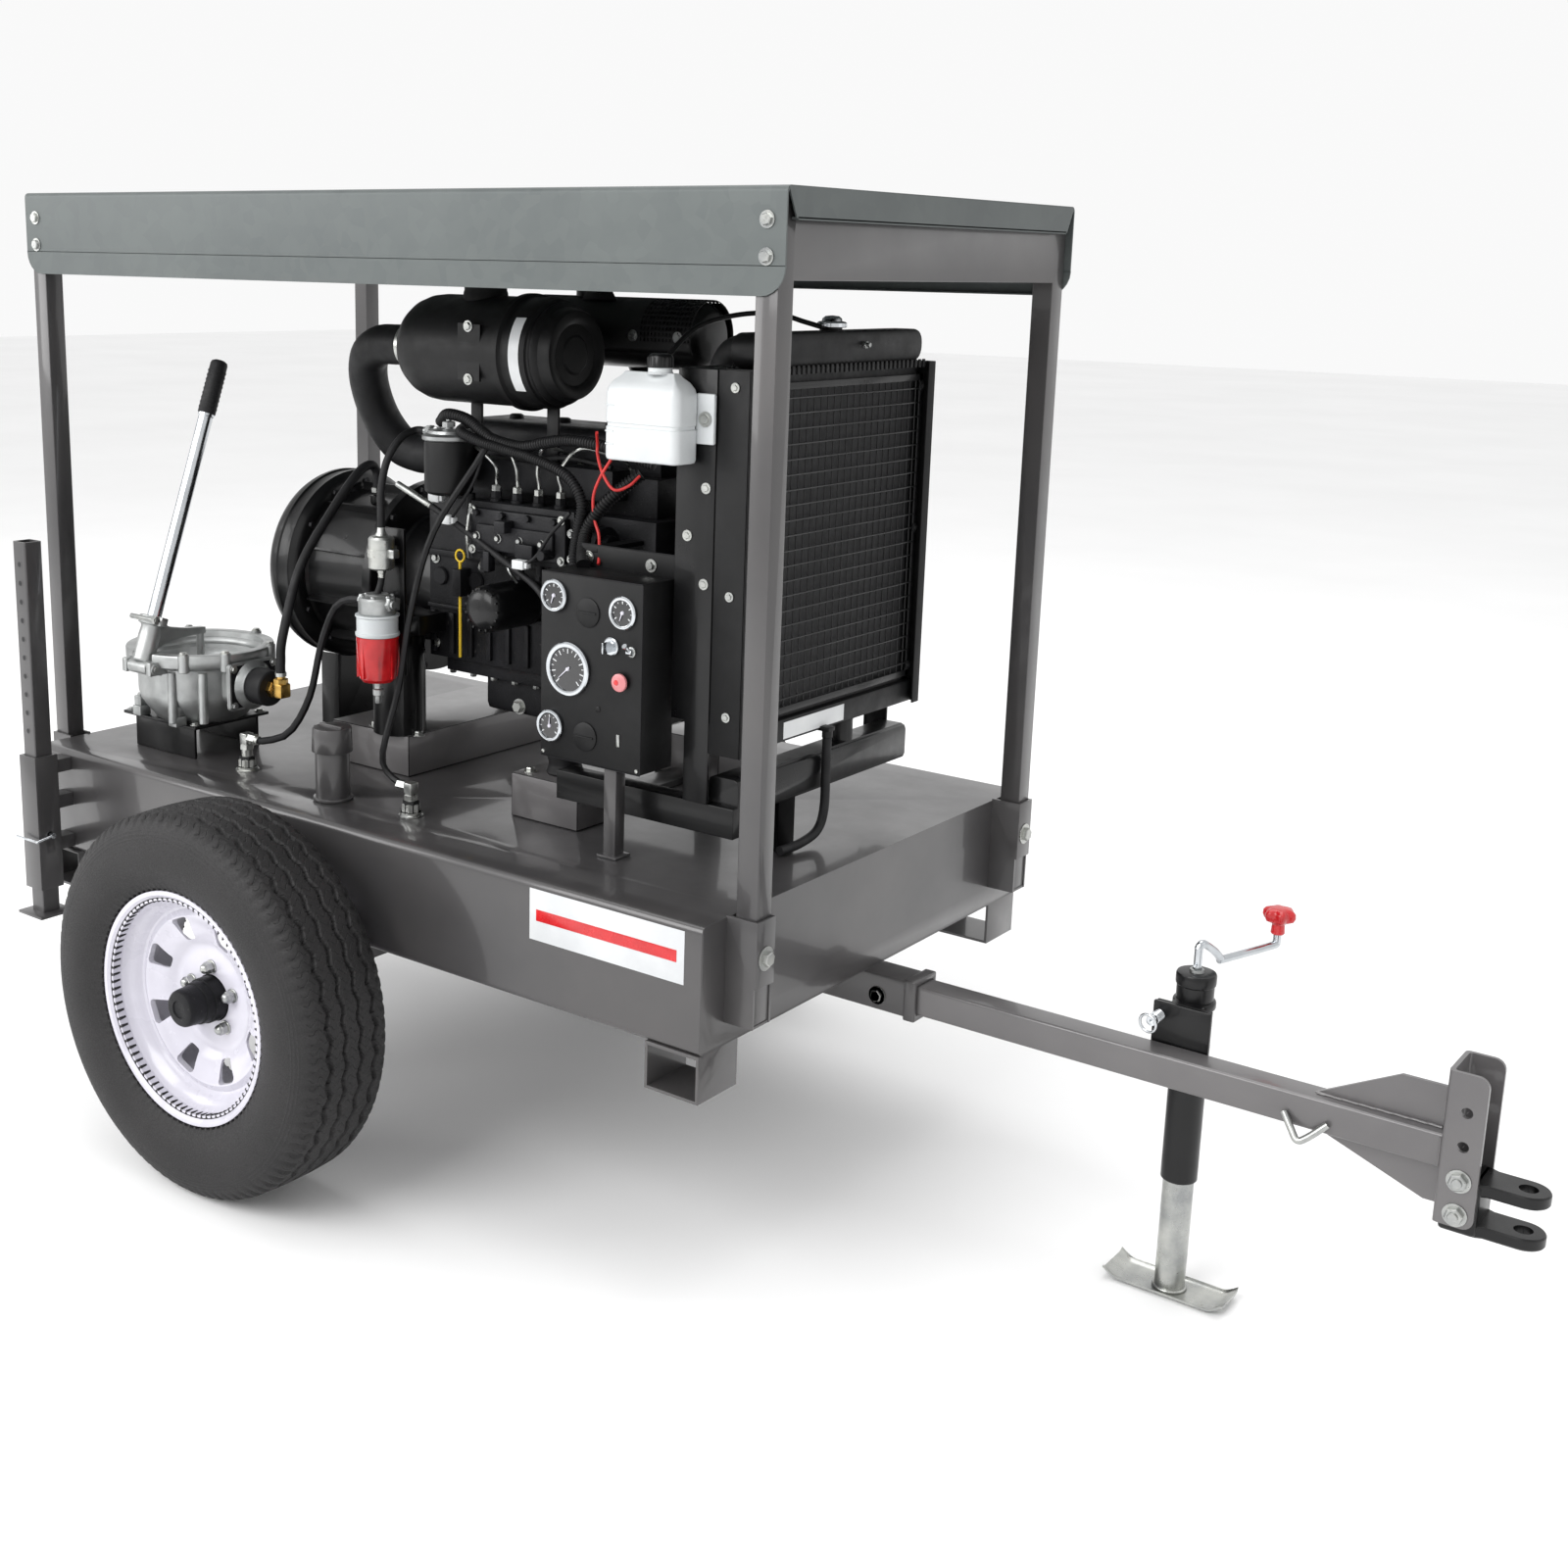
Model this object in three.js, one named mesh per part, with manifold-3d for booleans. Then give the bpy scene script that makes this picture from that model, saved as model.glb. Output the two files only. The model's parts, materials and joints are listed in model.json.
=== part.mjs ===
// Towable diesel generator: a skid-base fuel tank on two trailer wheels, with a
// canopy, a water-cooled diesel, a driven end, a hand priming pump, a tongue with
// a swivel jack and an adjustable clevis hitch, and a rear stabiliser leg.
//
// Units are millimetres. +X points to the hitch, +Y to the far side, +Z up.
// Everything is laid out from the middle of the tank with the ground at Z = 0;
// the finished group is then moved along X so the whole object is centred.

import * as THREE from 'three';
import { mergeVertices } from 'three/addons/utils/BufferGeometryUtils.js';
import Module from 'manifold-3d';

const wasm = await Module();
wasm.setup();

// ---------------------------------------------------------------- dimensions

const GAP = 0.3; // clearance between pieces that touch

// Wheels (ST205/75R15 on a 15 inch, five-bolt rim) and axle
const TYRE_R = 343.5;
const TYRE_W = 205;
const RIM_R = 208;
const BEAD_R = 190;
const WHEEL_GAP = 49.5; // tyre sidewall to tank side
const AXLE_X = -114;
const AXLE_TUBE = 50.8;
const WHEEL_SEGMENTS = 24;

// Base tank
const TANK_L = 1625.6;
const TANK_W = 1016;
const TANK_H = 206;
const TANK_Z = 442; // underside
const WALL = 4.8;
const DECK = TANK_Z + TANK_H;
const FOOT = 101.6;
const FOOT_H = 76.2;
const WHEEL_Y = TANK_W / 2 + WHEEL_GAP + TYRE_W / 2;

// End frames and roof
const POST = 38.1;
const POST_X = TANK_L / 2 + 12.7; // inner face of a post
const POST_OUT_X = POST_X + POST;
const POST_OUT_Y = TANK_W / 2 - 68;
const SOCKET_Z = 485;
const SOCKET_TOP = DECK + 3;
const STRAP_Z = 545;
const HEADER_Z = 1582;
const ROOF_Z = 1710;
const ROOF_T = 3;
const ROOF_X = POST_OUT_X + 12.4;
const ROOF_Y = POST_OUT_Y + GAP + ROOF_T;
const SKIRT_H = 150;
const EAVE_H = 45;

// Tongue, hitch and jack
const TONGUE = 50.8;
const TONGUE_Z = TANK_Z - 32; // centre line
const RECEIVER = 63.5;
const RECEIVER_END = TANK_L / 2 + 99;
const CHANNEL_X = TANK_L / 2 + 938.5;
const CHANNEL_HALF = 44.45;
const CHANNEL_T = 6.35;
const CHANNEL_Z = 313;
const CHANNEL_TOP = 540;
const HOLE_PITCH = 50.8;
const HOLE_Z = 331.6;
const HOLE_X = CHANNEL_X + 30;
const EAR_T = 18;
const EAR_R = 30;
const CLEVIS_X = CHANNEL_X + 110.8; // clevis pin centre
const JACK_X = TANK_L / 2 + 530;
const JACK_Y = TONGUE / 2 + 49.6;
const JACK_TOP = 540;
const JACK_PIVOT_Z = 466;
const CRANK_R = 6.35;

// Stabiliser on the near rear corner
const LEG = 38.1;
const SLEEVE = 50.8;
const LEG_X = -(TANK_L / 2 - 74);
const LEG_Y = -(TANK_W / 2 + 62);
const LEG_TOP = 1067;
const SLEEVE_Z = 383;
const SLEEVE_TOP = DECK + 2;
const LEG_FOOT_Z = 328;
const LOCK_PIN_Z = 492;

// Engine, driven end and cooling
const CRANK_Z = 995;
const BLOCK_X0 = -100;
const BLOCK_X1 = 430;
const BLOCK_Y = 140;
const BLOCK_Z0 = 875;
const BLOCK_Z1 = 1175;
const SHAFT_R = 30;
const DRUM_X0 = -514;
const DRUM_X1 = -425;
const DRUM_R = 190;
const BELL_R = 150;
const FAN_Z = 1140;
const FAN_R = 212;
const RAD_X0 = 650.3;
const RAD_X1 = 700;
const RAD_Y = 280;
const RAD_Z0 = 840;
const RAD_TANK_Z = 1446;
const RAD_TOP = 1503;
const SHROUD_X = 575;
const RAIL_TOP = 755;
const AIR_Y = -150;
const AIR_Z = 1447;
const AIR_R = 95;
const MUFFLER_Y = 50;
const MUFFLER_Z = 1478;

// Deck fittings
const FILLER = [-94, -(TANK_W / 2 - 110)];
const ELBOW_REAR = [-358, -(TANK_W / 2 - 136)];
const ELBOW_FRONT = [86, -(TANK_W / 2 - 127)];
const PEDESTAL = [-143, 180];
const FUEL_X = -73; // centre line of the separator and feed pump
const SEPARATOR_Y = -303;
const PUMP = [-550, -320]; // centre of the hand pump
const PUMP_BASE_Z = 718;
const PUMP_RING_Z = 862;
const PUMP_R = 142;
const LEVER_Y = PUMP[1] - PUMP_R;
const LEVER_Z = 835;
const LEVER_LEAN = 20.4; // degrees towards the engine

// Control box
const BOX_X0 = 355;
const BOX_X1 = 566;
const BOX_Y = -347;
const BOX_D = 85;
const BOX_Z0 = 801;
const BOX_Z1 = 1111;

// ------------------------------------------------------------------- helpers

const rad = THREE.MathUtils.degToRad;

/** Welded solid of a three.js geometry. */
function solid(geometry) {
  const plain = geometry.index ? geometry.clone() : geometry;
  plain.deleteAttribute('normal');
  plain.deleteAttribute('uv');
  const welded = mergeVertices(plain, 1e-3);
  const index = Array.from(welded.index.array);
  const kept = [];
  for (let i = 0; i < index.length; i += 3) {
    const [a, b, c] = index.slice(i, i + 3);
    if (a !== b && b !== c && c !== a) kept.push(a, b, c);
  }
  const mesh = new wasm.Mesh({
    numProp: 3,
    vertProperties: new Float32Array(welded.attributes.position.array),
    triVerts: new Uint32Array(kept),
  });
  mesh.merge();
  return new wasm.Manifold(mesh);
}

/** Box between two corners. */
function box(x0, x1, y0, y1, z0, z1) {
  const g = new THREE.BoxGeometry(x1 - x0, y1 - y0, z1 - z0);
  g.translate((x0 + x1) / 2, (y0 + y1) / 2, (z0 + z1) / 2);
  return solid(g);
}

/** Box placed by its mirror pair: y0..y1 on the given side (+1 far, -1 near). */
function sideBox(side, x0, x1, y0, y1, z0, z1) {
  return side > 0 ? box(x0, x1, y0, y1, z0, z1) : box(x0, x1, -y1, -y0, z0, z1);
}

/** Round bar along an axis from a to b; centre holds the other two coordinates. */
function rod(axis, r, a, b, centre, segments = 12, rEnd = r) {
  const g = new THREE.CylinderGeometry(rEnd, r, b - a, segments);
  if (axis === 'x') {
    g.rotateZ(-Math.PI / 2);
    g.translate((a + b) / 2, centre[0], centre[1]);
  } else if (axis === 'y') {
    g.translate(centre[0], (a + b) / 2, centre[1]);
  } else {
    g.rotateX(Math.PI / 2);
    g.translate(centre[0], centre[1], (a + b) / 2);
  }
  return solid(g);
}

/** Ring or disc turned from a closed [position, radius] profile about an axis. */
function turned(axis, profile, centre, segments) {
  const points = profile.map(([s, r]) => new THREE.Vector2(r, s));
  points.push(points[0].clone());
  const g = new THREE.LatheGeometry(points, segments);
  if (axis === 'x') {
    g.rotateZ(-Math.PI / 2);
    g.translate(0, centre[0], centre[1]);
  } else if (axis === 'y') {
    g.translate(centre[0], 0, centre[1]);
  } else {
    g.rotateX(Math.PI / 2);
    g.translate(centre[0], centre[1], 0);
  }
  const result = solid(g);
  return result.volume() < 0 ? solid(flipped(g)) : result;
}

/** The same geometry with every triangle turned over. */
function flipped(geometry) {
  const g = mergeVertices(geometry, 1e-3);
  const index = g.index.array;
  for (let i = 0; i < index.length; i += 3) {
    const first = index[i];
    index[i] = index[i + 1];
    index[i + 1] = first;
  }
  return g;
}

/** Prism of an outline in the plane across the axis, from a to b along it. */
function prism(axis, outline, a, b) {
  const shape = new THREE.Shape(outline.map(([u, v]) => new THREE.Vector2(u, v)));
  const g = new THREE.ExtrudeGeometry(shape, { depth: b - a, bevelEnabled: false });
  if (axis === 'x') {
    g.applyMatrix4(new THREE.Matrix4().set(0, 0, 1, a, 1, 0, 0, 0, 0, 1, 0, 0, 0, 0, 0, 1));
  } else if (axis === 'y') {
    g.applyMatrix4(new THREE.Matrix4().set(1, 0, 0, 0, 0, 0, -1, b, 0, 1, 0, 0, 0, 0, 0, 1));
  } else {
    g.translate(0, 0, a);
  }
  return solid(g);
}

/** Rounded rectangle outline. */
function roundedOutline(u0, u1, v0, v1, r, steps = 3) {
  const corners = [[u1 - r, v1 - r, 0], [u0 + r, v1 - r, 90], [u0 + r, v0 + r, 180], [u1 - r, v0 + r, 270]];
  const points = [];
  for (const [cu, cv, start] of corners) {
    for (let i = 0; i <= steps; i += 1) {
      const a = rad(start + (90 * i) / steps);
      points.push([cu + r * Math.cos(a), cv + r * Math.sin(a)]);
    }
  }
  return points;
}

/** Round hose or rod along a smooth curve through the points. */
function hose(points, r, segments = 8, steps = 16, tension = 0.5) {
  const path = points.map((p) => new THREE.Vector3(...p));
  const curve = new THREE.CatmullRomCurve3(path, false, 'catmullrom', tension);
  return swept(curve, r, segments, steps);
}

/** Round rod bent sharply at each point. */
function bentRod(points, r, segments = 8) {
  let result = null;
  for (let i = 0; i + 1 < points.length; i += 1) {
    const a = new THREE.Vector3(...points[i]);
    const b = new THREE.Vector3(...points[i + 1]);
    const piece = swept(new THREE.LineCurve3(a, b), r, segments, 1);
    result = result ? result.add(piece) : piece;
    if (i > 0) {
      const knee = new THREE.IcosahedronGeometry(r * 1.14, 0);
      knee.translate(a.x, a.y, a.z);
      result = result.add(solid(knee));
    }
  }
  return result;
}

/** Circle carried along a curve. */
function swept(curve, r, segments, steps) {
  const outline = [];
  for (let i = 0; i < segments; i += 1) {
    const a = (2 * Math.PI * i) / segments;
    outline.push(new THREE.Vector2(r * Math.cos(a), r * Math.sin(a)));
  }
  const shape = new THREE.Shape(outline);
  const g = new THREE.ExtrudeGeometry(shape, { steps, extrudePath: curve, bevelEnabled: false });
  return solid(g);
}

/** Everything joined into one solid. */
function join(...solids) {
  return solids.reduce((sum, one) => sum.add(one));
}

/** The first solid with every other one cut away. */
function cut(body, ...tools) {
  return tools.reduce((rest, tool) => rest.subtract(tool), body);
}

/** Turn a solid by an angle about an X-directed line through (y, z). */
function turnAboutX(body, degrees, y, z) {
  return body.translate([0, -y, -z]).rotate([degrees, 0, 0]).translate([0, y, z]);
}

const group = new THREE.Group();
group.name = 'towable_diesel_generator';

/** Add a finished solid to the group as one named piece. */
function piece(name, body, [color, roughness, metalness]) {
  const { vertProperties, triVerts, numProp } = body.getMesh();
  const positions = new Float32Array(triVerts.length * 3);
  for (let i = 0; i < triVerts.length; i += 1) {
    for (let k = 0; k < 3; k += 1) positions[3 * i + k] = vertProperties[triVerts[i] * numProp + k];
  }
  const g = new THREE.BufferGeometry();
  g.setAttribute('position', new THREE.BufferAttribute(positions, 3));
  g.computeVertexNormals();
  const mesh = new THREE.Mesh(g, new THREE.MeshStandardMaterial({ color, roughness, metalness }));
  mesh.name = name;
  group.add(mesh);
}

const PAINT = ['#5c5852', 0.35, 0.5];
const GALVANISED = ['#8c979a', 0.45, 0.8];
const BLACK = ['#17171a', 0.45, 0.3];
const CASTING = ['#26272a', 0.55, 0.4];
const RUBBER = ['#1d1e20', 0.85, 0.0];
const CHROME = ['#c8cdd2', 0.2, 0.95];
const ALUMINIUM = ['#b7b9b8', 0.4, 0.8];
const WHITE = ['#e8ebf0', 0.3, 0.1];
const RED = ['#c8141e', 0.35, 0.0];
const PLASTIC = ['#eef0ee', 0.4, 0.0];

// ----------------------------------------------------------------- base tank

function postSocket(endX, sideY) {
  const face = TANK_L / 2;
  const inner = POST_OUT_Y - POST - GAP;
  const outer = POST_OUT_Y + GAP;
  const cheeks = [inner - WALL, outer].map((y0) =>
    sideBox(sideY, face - 1, POST_OUT_X + 1, y0, y0 + WALL, SOCKET_Z - WALL, SOCKET_TOP));
  const strap = sideBox(sideY, POST_OUT_X + GAP, POST_OUT_X + GAP + WALL,
    inner - WALL, outer + WALL, STRAP_Z, SOCKET_TOP);
  const shelf = sideBox(sideY, face - 1, POST_OUT_X, inner - 1, outer + 1, SOCKET_Z - WALL, SOCKET_Z);
  const whole = join(...cheeks, strap, shelf);
  return endX > 0 ? whole : whole.mirror([1, 0, 0]);
}

function forkFoot(endX, sideY) {
  const x1 = TANK_L / 2;
  const y1 = TANK_W / 2;
  const outer = sideBox(sideY, x1 - FOOT, x1, y1 - FOOT, y1, TANK_Z - FOOT_H, TANK_Z + 1);
  const inner = sideBox(sideY, x1 - FOOT + WALL, x1 - WALL, y1 - FOOT - 1, y1 + 1,
    TANK_Z - FOOT_H + WALL, TANK_Z - WALL);
  const whole = cut(outer, inner);
  return endX > 0 ? whole : whole.mirror([1, 0, 0]);
}

{
  const shell = prism('x', roundedOutline(-TANK_W / 2, TANK_W / 2, TANK_Z, DECK, 12), -TANK_L / 2, TANK_L / 2);
  const fuelSpace = box(-TANK_L / 2 + WALL, TANK_L / 2 - WALL, -TANK_W / 2 + WALL, TANK_W / 2 - WALL,
    TANK_Z + WALL, DECK - WALL);
  const fillerHole = rod('z', 27, DECK - WALL - 1, DECK + 1, FILLER, 20);
  let body = shell;
  for (const endX of [-1, 1]) {
    for (const sideY of [-1, 1]) body = join(body, postSocket(endX, sideY), forkFoot(endX, sideY));
  }
  piece('base_tank', cut(body, fuelSpace, fillerHole), PAINT);
}

// ---------------------------------------------------------- axle and wheels

{
  const beam = box(AXLE_X - AXLE_TUBE / 2, AXLE_X + AXLE_TUBE / 2, -WHEEL_Y + 70, WHEEL_Y - 70,
    TYRE_R - AXLE_TUBE / 2, TYRE_R + AXLE_TUBE / 2);
  const hangers = [-1, 1].map((side) =>
    sideBox(side, AXLE_X - 38, AXLE_X + 38, TANK_W / 2 - 130, TANK_W / 2 - 90, TYRE_R, TANK_Z - GAP));
  const spindle = rod('y', 17, -WHEEL_Y - 50, WHEEL_Y + 50, [AXLE_X, TYRE_R], 16);
  piece('axle_beam', join(beam, ...hangers, spindle), PAINT);
}

/** Profile points [outward offset, radius] moved to a wheel on the given side. */
function wheelProfile(side, points) {
  return points.map(([s, r]) => [side * (WHEEL_Y + s), r]);
}

function tyre(side) {
  const half = TYRE_W / 2;
  const wall = [[74.2, BEAD_R + 0.4], [74.2, RIM_R + 2], [half - 2, 246], [half, 276], [90, 322], [58, TYRE_R]];
  const cavity = [[52, BEAD_R + 0.4], [88, 262], [74, 322]];
  const mirrored = (list) => list.map(([s, r]) => [-s, r]).reverse();
  const points = [...wall, ...mirrored(wall), ...cavity.map(([s, r]) => [-s, r]), ...[...cavity].reverse()];
  return turned('y', wheelProfile(side, points), [AXLE_X, TYRE_R], WHEEL_SEGMENTS);
}

function rim(side) {
  const points = [
    [-80, RIM_R], [-74.6, RIM_R], [-74.6, BEAD_R], [-42, BEAD_R - 1], [-30, 172], [26, 172],
    [38, BEAD_R - 1], [74.6, BEAD_R], [74.6, RIM_R], [80, RIM_R],
    [80, 185], [42, 183], [28, 166], [24, 112], [6, 96], [6, 41], [1, 41],
    [1, 99], [19, 116], [22, 166], [-36, 166], [-80, 185],
  ];
  let body = turned('y', wheelProfile(side, points), [AXLE_X, TYRE_R], WHEEL_SEGMENTS);
  const from = side > 0 ? WHEEL_Y - 5 : -WHEEL_Y - 45;
  for (let i = 0; i < 8; i += 1) {
    const slot = prism('z', [[120, -10], [150, -17], [150, 17], [120, 10]], 0, 50)
      .rotate([90, 0, 0]).translate([0, 50, 0]).rotate([0, 45 * i + 22.5, 0]);
    body = cut(body, slot.translate([AXLE_X, from, TYRE_R]));
  }
  for (let i = 0; i < 5; i += 1) {
    const a = rad(72 * i + 90);
    const centre = [AXLE_X + 57.15 * Math.cos(a), TYRE_R + 57.15 * Math.sin(a)];
    body = cut(body, rod('y', 8, from, from + 50, centre, 6));
  }
  return body;
}

function hub(side) {
  const points = [[-14, 18], [-14, 70], [0.6, 70], [0.6, 40], [46, 40], [46, 33], [82, 31], [82, 18]];
  let body = turned('y', wheelProfile(side, points), [AXLE_X, TYRE_R], 16);
  for (let i = 0; i < 5; i += 1) {
    const a = rad(72 * i + 90);
    const centre = [AXLE_X + 57.15 * Math.cos(a), TYRE_R + 57.15 * Math.sin(a)];
    const [s0, s1, s2, s3] = [-4, 30, 6.4, 24].map((s) => side * (WHEEL_Y + s));
    const stud = rod('y', 6.2, Math.min(s0, s1), Math.max(s0, s1), centre, 6);
    const nut = rod('y', 11, Math.min(s2, s3), Math.max(s2, s3), centre, 6);
    body = join(body, stud, nut);
  }
  return body;
}

for (const [label, side] of [['near', -1], ['far', 1]]) {
  piece(`tyre_${label}`, tyre(side), RUBBER);
  piece(`rim_${label}`, rim(side), WHITE);
  piece(`hub_${label}`, hub(side), CASTING);
}

// ------------------------------------------------- tongue, hitch and the jack

/** Square tube along X. */
function squareTubeX(x0, x1, size, wall, z) {
  const outer = box(x0, x1, -size / 2, size / 2, z - size / 2, z + size / 2);
  const h = size / 2 - wall;
  return cut(outer, box(x0 - 1, x1 + 1, -h, h, z - h, z + h));
}

{
  const wall = (RECEIVER - TONGUE) / 2 - 0.35;
  const tube = squareTubeX(RECEIVER_END - 302, RECEIVER_END, RECEIVER, wall, TONGUE_Z);
  const collar = squareTubeX(RECEIVER_END - 22, RECEIVER_END, 72, 36 - RECEIVER / 2 + wall, TONGUE_Z);
  piece('tongue_receiver', join(tube, collar), PAINT);
}

{
  const rear = RECEIVER_END - 262;
  const end = CHANNEL_X - GAP;
  const tube = squareTubeX(rear, end, TONGUE, 5, TONGUE_Z);
  const half = TONGUE / 2;
  const upper = prism('y', [[end - 190, TONGUE_Z + half - 1], [end - 70, TONGUE_Z + 88],
    [end, TONGUE_Z + 88], [end, TONGUE_Z + half - 1]], -3.2, 3.2);
  const lower = prism('y', [[end - 190, TONGUE_Z - half + 1], [end, TONGUE_Z - half + 1],
    [end, TONGUE_Z - 88], [end - 24, TONGUE_Z - 88]], -3.2, 3.2);
  const hook = bentRod([[end - 222, -half, TONGUE_Z - 8], [end - 194, -half - 20, TONGUE_Z - 38],
    [end - 158, -half, TONGUE_Z - 10]], 5);
  piece('tongue_bar', join(tube, upper, lower, hook), PAINT);
}

{
  const front = CHANNEL_X + 55;
  const c = 14;
  const outline = [[CHANNEL_X, CHANNEL_Z], [front - c, CHANNEL_Z], [front, CHANNEL_Z + c],
    [front, CHANNEL_TOP - c], [front - c, CHANNEL_TOP], [CHANNEL_X, CHANNEL_TOP]];
  let body = prism('y', outline, -CHANNEL_HALF, CHANNEL_HALF);
  body = cut(body, box(CHANNEL_X + CHANNEL_T, front + 1, -CHANNEL_HALF + CHANNEL_T,
    CHANNEL_HALF - CHANNEL_T, CHANNEL_Z - 1, CHANNEL_TOP + 1));
  for (let i = 0; i < 4; i += 1) {
    body = cut(body, rod('y', 8, -60, 60, [HOLE_X, HOLE_Z + i * HOLE_PITCH], 8));
  }
  piece('tongue_channel', body, PAINT);
}

{
  const half = CHANNEL_HALF - CHANNEL_T - GAP;
  const low = HOLE_Z - 31;
  const high = HOLE_Z + HOLE_PITCH - 2;
  const block = box(CHANNEL_X + CHANNEL_T + GAP, CHANNEL_X + 58, -half, half, low, high);
  const ears = [low, high - EAR_T].map((z) => {
    const arm = box(CHANNEL_X + 50, CLEVIS_X, -EAR_R, EAR_R, z, z + EAR_T);
    return join(arm, rod('z', EAR_R, z, z + EAR_T, [CLEVIS_X, 0], 16));
  });
  const bolts = [0, 1].map((i) => {
    const centre = [HOLE_X, HOLE_Z + i * HOLE_PITCH];
    const shank = rod('y', 7, -CHANNEL_HALF - 6, CHANNEL_HALF + 6, centre, 8);
    const heads = [-1, 1].map((side) => {
      const y0 = side > 0 ? CHANNEL_HALF + GAP : -CHANNEL_HALF - GAP - 12;
      return rod('y', 13, y0, y0 + 12, centre, 6);
    });
    return join(shank, ...heads);
  });
  const pinHole = rod('z', 13, low - 1, high + 1, [CLEVIS_X, 0], 12);
  piece('hitch_clevis', cut(join(block, ...ears, ...bolts), pinHole), BLACK);
}

// The jack hangs on a boss on the far side of the tongue and swivels about it.
const JACK_PLATE_Y = TONGUE / 2 + GAP + 8;
{
  const plate = box(JACK_X - 46, JACK_X + 46, TONGUE / 2 + GAP, JACK_PLATE_Y, TONGUE_Z - 25, JACK_PIVOT_Z + 34);
  const boss = rod('y', 22, JACK_PLATE_Y - 1, JACK_PLATE_Y + 6, [JACK_X, JACK_PIVOT_Z], 16);
  const pinHole = rod('y', 6.5, 20, JACK_PLATE_Y + 2, [JACK_X - 35, JACK_PIVOT_Z + 12], 12);
  piece('jack_bracket', cut(join(plate, boss), pinHole), BLACK);
}

{
  const y0 = JACK_PLATE_Y + GAP;
  const plate = box(JACK_X - 44, JACK_X + 44, y0, y0 + 6, JACK_PIVOT_Z - 34, JACK_PIVOT_Z + 34);
  const bossHole = rod('y', 22.4, y0 - 1, y0 + 6.2, [JACK_X, JACK_PIVOT_Z], 16);
  const pinHole = rod('y', 6.5, y0 - 1, y0 + 7, [JACK_X - 35, JACK_PIVOT_Z + 12], 12);
  const saddle = box(JACK_X - 25, JACK_X + 25, y0 + 5.9, JACK_Y - 18, JACK_PIVOT_Z - 34, JACK_PIVOT_Z + 34);
  const tube = rod('z', 28.5, 195, JACK_TOP, [JACK_X, JACK_Y], 16);
  const cap = rod('z', 31, JACK_TOP - 16, JACK_TOP + 4, [JACK_X, JACK_Y], 16);
  const collar = rod('z', 33, JACK_PIVOT_Z + 20, JACK_PIVOT_Z + 34, [JACK_X, JACK_Y], 16);
  const bore = rod('z', 24.6, 194, JACK_TOP - 8, [JACK_X, JACK_Y], 16);
  const neck = rod('z', CRANK_R + 0.5, JACK_TOP - 9, JACK_TOP + 5, [JACK_X, JACK_Y], 12);
  const body = join(cut(plate, bossHole, pinHole), saddle, tube, cap, collar);
  piece('jack_tube', cut(body, bore, neck), BLACK);
}

{
  const leg = rod('z', 24, 4, 400, [JACK_X, JACK_Y], 16);
  const foot = box(JACK_X - 82, JACK_X + 82, JACK_Y - 38, JACK_Y + 38, 0, 5);
  const turnUps = [-1, 1].map((side) => {
    const x = JACK_X + side * 81;
    const tip = JACK_X + side * 100;
    const outline = [[x, 0], [tip, 20], [tip, 25], [x, 5]];
    return prism('y', side > 0 ? outline : [...outline].reverse(), JACK_Y - 38, JACK_Y + 38);
  });
  const screwBore = rod('z', 10.5, 20, 401, [JACK_X, JACK_Y], 12);
  piece('jack_leg', cut(join(leg, foot, ...turnUps), screwBore), CHROME);
}

const CRANK_END = [JACK_X + 59, JACK_Y + 181];
{
  const z = JACK_TOP + 12;
  const rodPath = [[JACK_X, JACK_Y, JACK_TOP - 100], [JACK_X, JACK_Y, z + 36], [JACK_X + 18, JACK_Y + 55, z],
    [CRANK_END[0], CRANK_END[1], z], [CRANK_END[0], CRANK_END[1], z + 62]];
  const screw = rod('z', 9, 170, JACK_TOP - 90, [JACK_X, JACK_Y], 12);
  piece('jack_crank', join(bentRod(rodPath, CRANK_R), screw), CHROME);
}

{
  const z = JACK_TOP + 30;
  const outline = [];
  for (let i = 0; i < 24; i += 1) {
    const a = (2 * Math.PI * i) / 24;
    const r = 23 + 3 * Math.cos(6 * a);
    outline.push([CRANK_END[0] + r * Math.cos(a), CRANK_END[1] + r * Math.sin(a)]);
  }
  const lobes = prism('z', outline, z + 20, z + 44);
  const stem = rod('z', 11, z, z + 22, CRANK_END, 16, 14);
  const bore = rod('z', CRANK_R + 0.5, z - 1, z + 45, CRANK_END, 10);
  piece('jack_knob', cut(join(lobes, stem), bore), RED);
}

{
  const centre = [JACK_X - 35, JACK_PIVOT_Z + 12];
  const pin = rod('y', 6, -4, JACK_PLATE_Y - 0.5, centre, 12);
  const ring = new THREE.TorusGeometry(15, 2.5, 5, 12);
  ring.translate(centre[0], -18, centre[1]);
  piece('jack_pull_pin', join(pin, solid(ring)), CHROME);
}

// ------------------------------------------------------------- end frames, roof

/** Square tube standing on end. */
function squareTubeZ(x, y, size, wall, z0, z1) {
  const h = size / 2;
  const outer = box(x - h, x + h, y - h, y + h, z0, z1);
  const g = h - wall;
  return cut(outer, box(x - g, x + g, y - g, y + g, z0 - 1, z1 + 1));
}

function endFrame(endX) {
  const y = POST_OUT_Y - POST / 2;
  const top = ROOF_Z - ROOF_T - GAP;
  const posts = [-1, 1].map((side) =>
    squareTubeZ(POST_X + POST / 2, side * y, POST, 3, SOCKET_Z + GAP, top));
  const inner = y - POST / 2 + 1;
  const channel = cut(
    box(POST_X, POST_OUT_X, -inner, inner, HEADER_Z, top),
    box(POST_X - 1, POST_OUT_X - 5, -inner - 2, inner + 2, HEADER_Z + 5, top - 5));
  const whole = join(...posts, channel);
  return endX > 0 ? whole : whole.mirror([1, 0, 0]);
}

piece('end_frame_front', endFrame(1), PAINT);
piece('end_frame_rear', endFrame(-1), PAINT);

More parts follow.
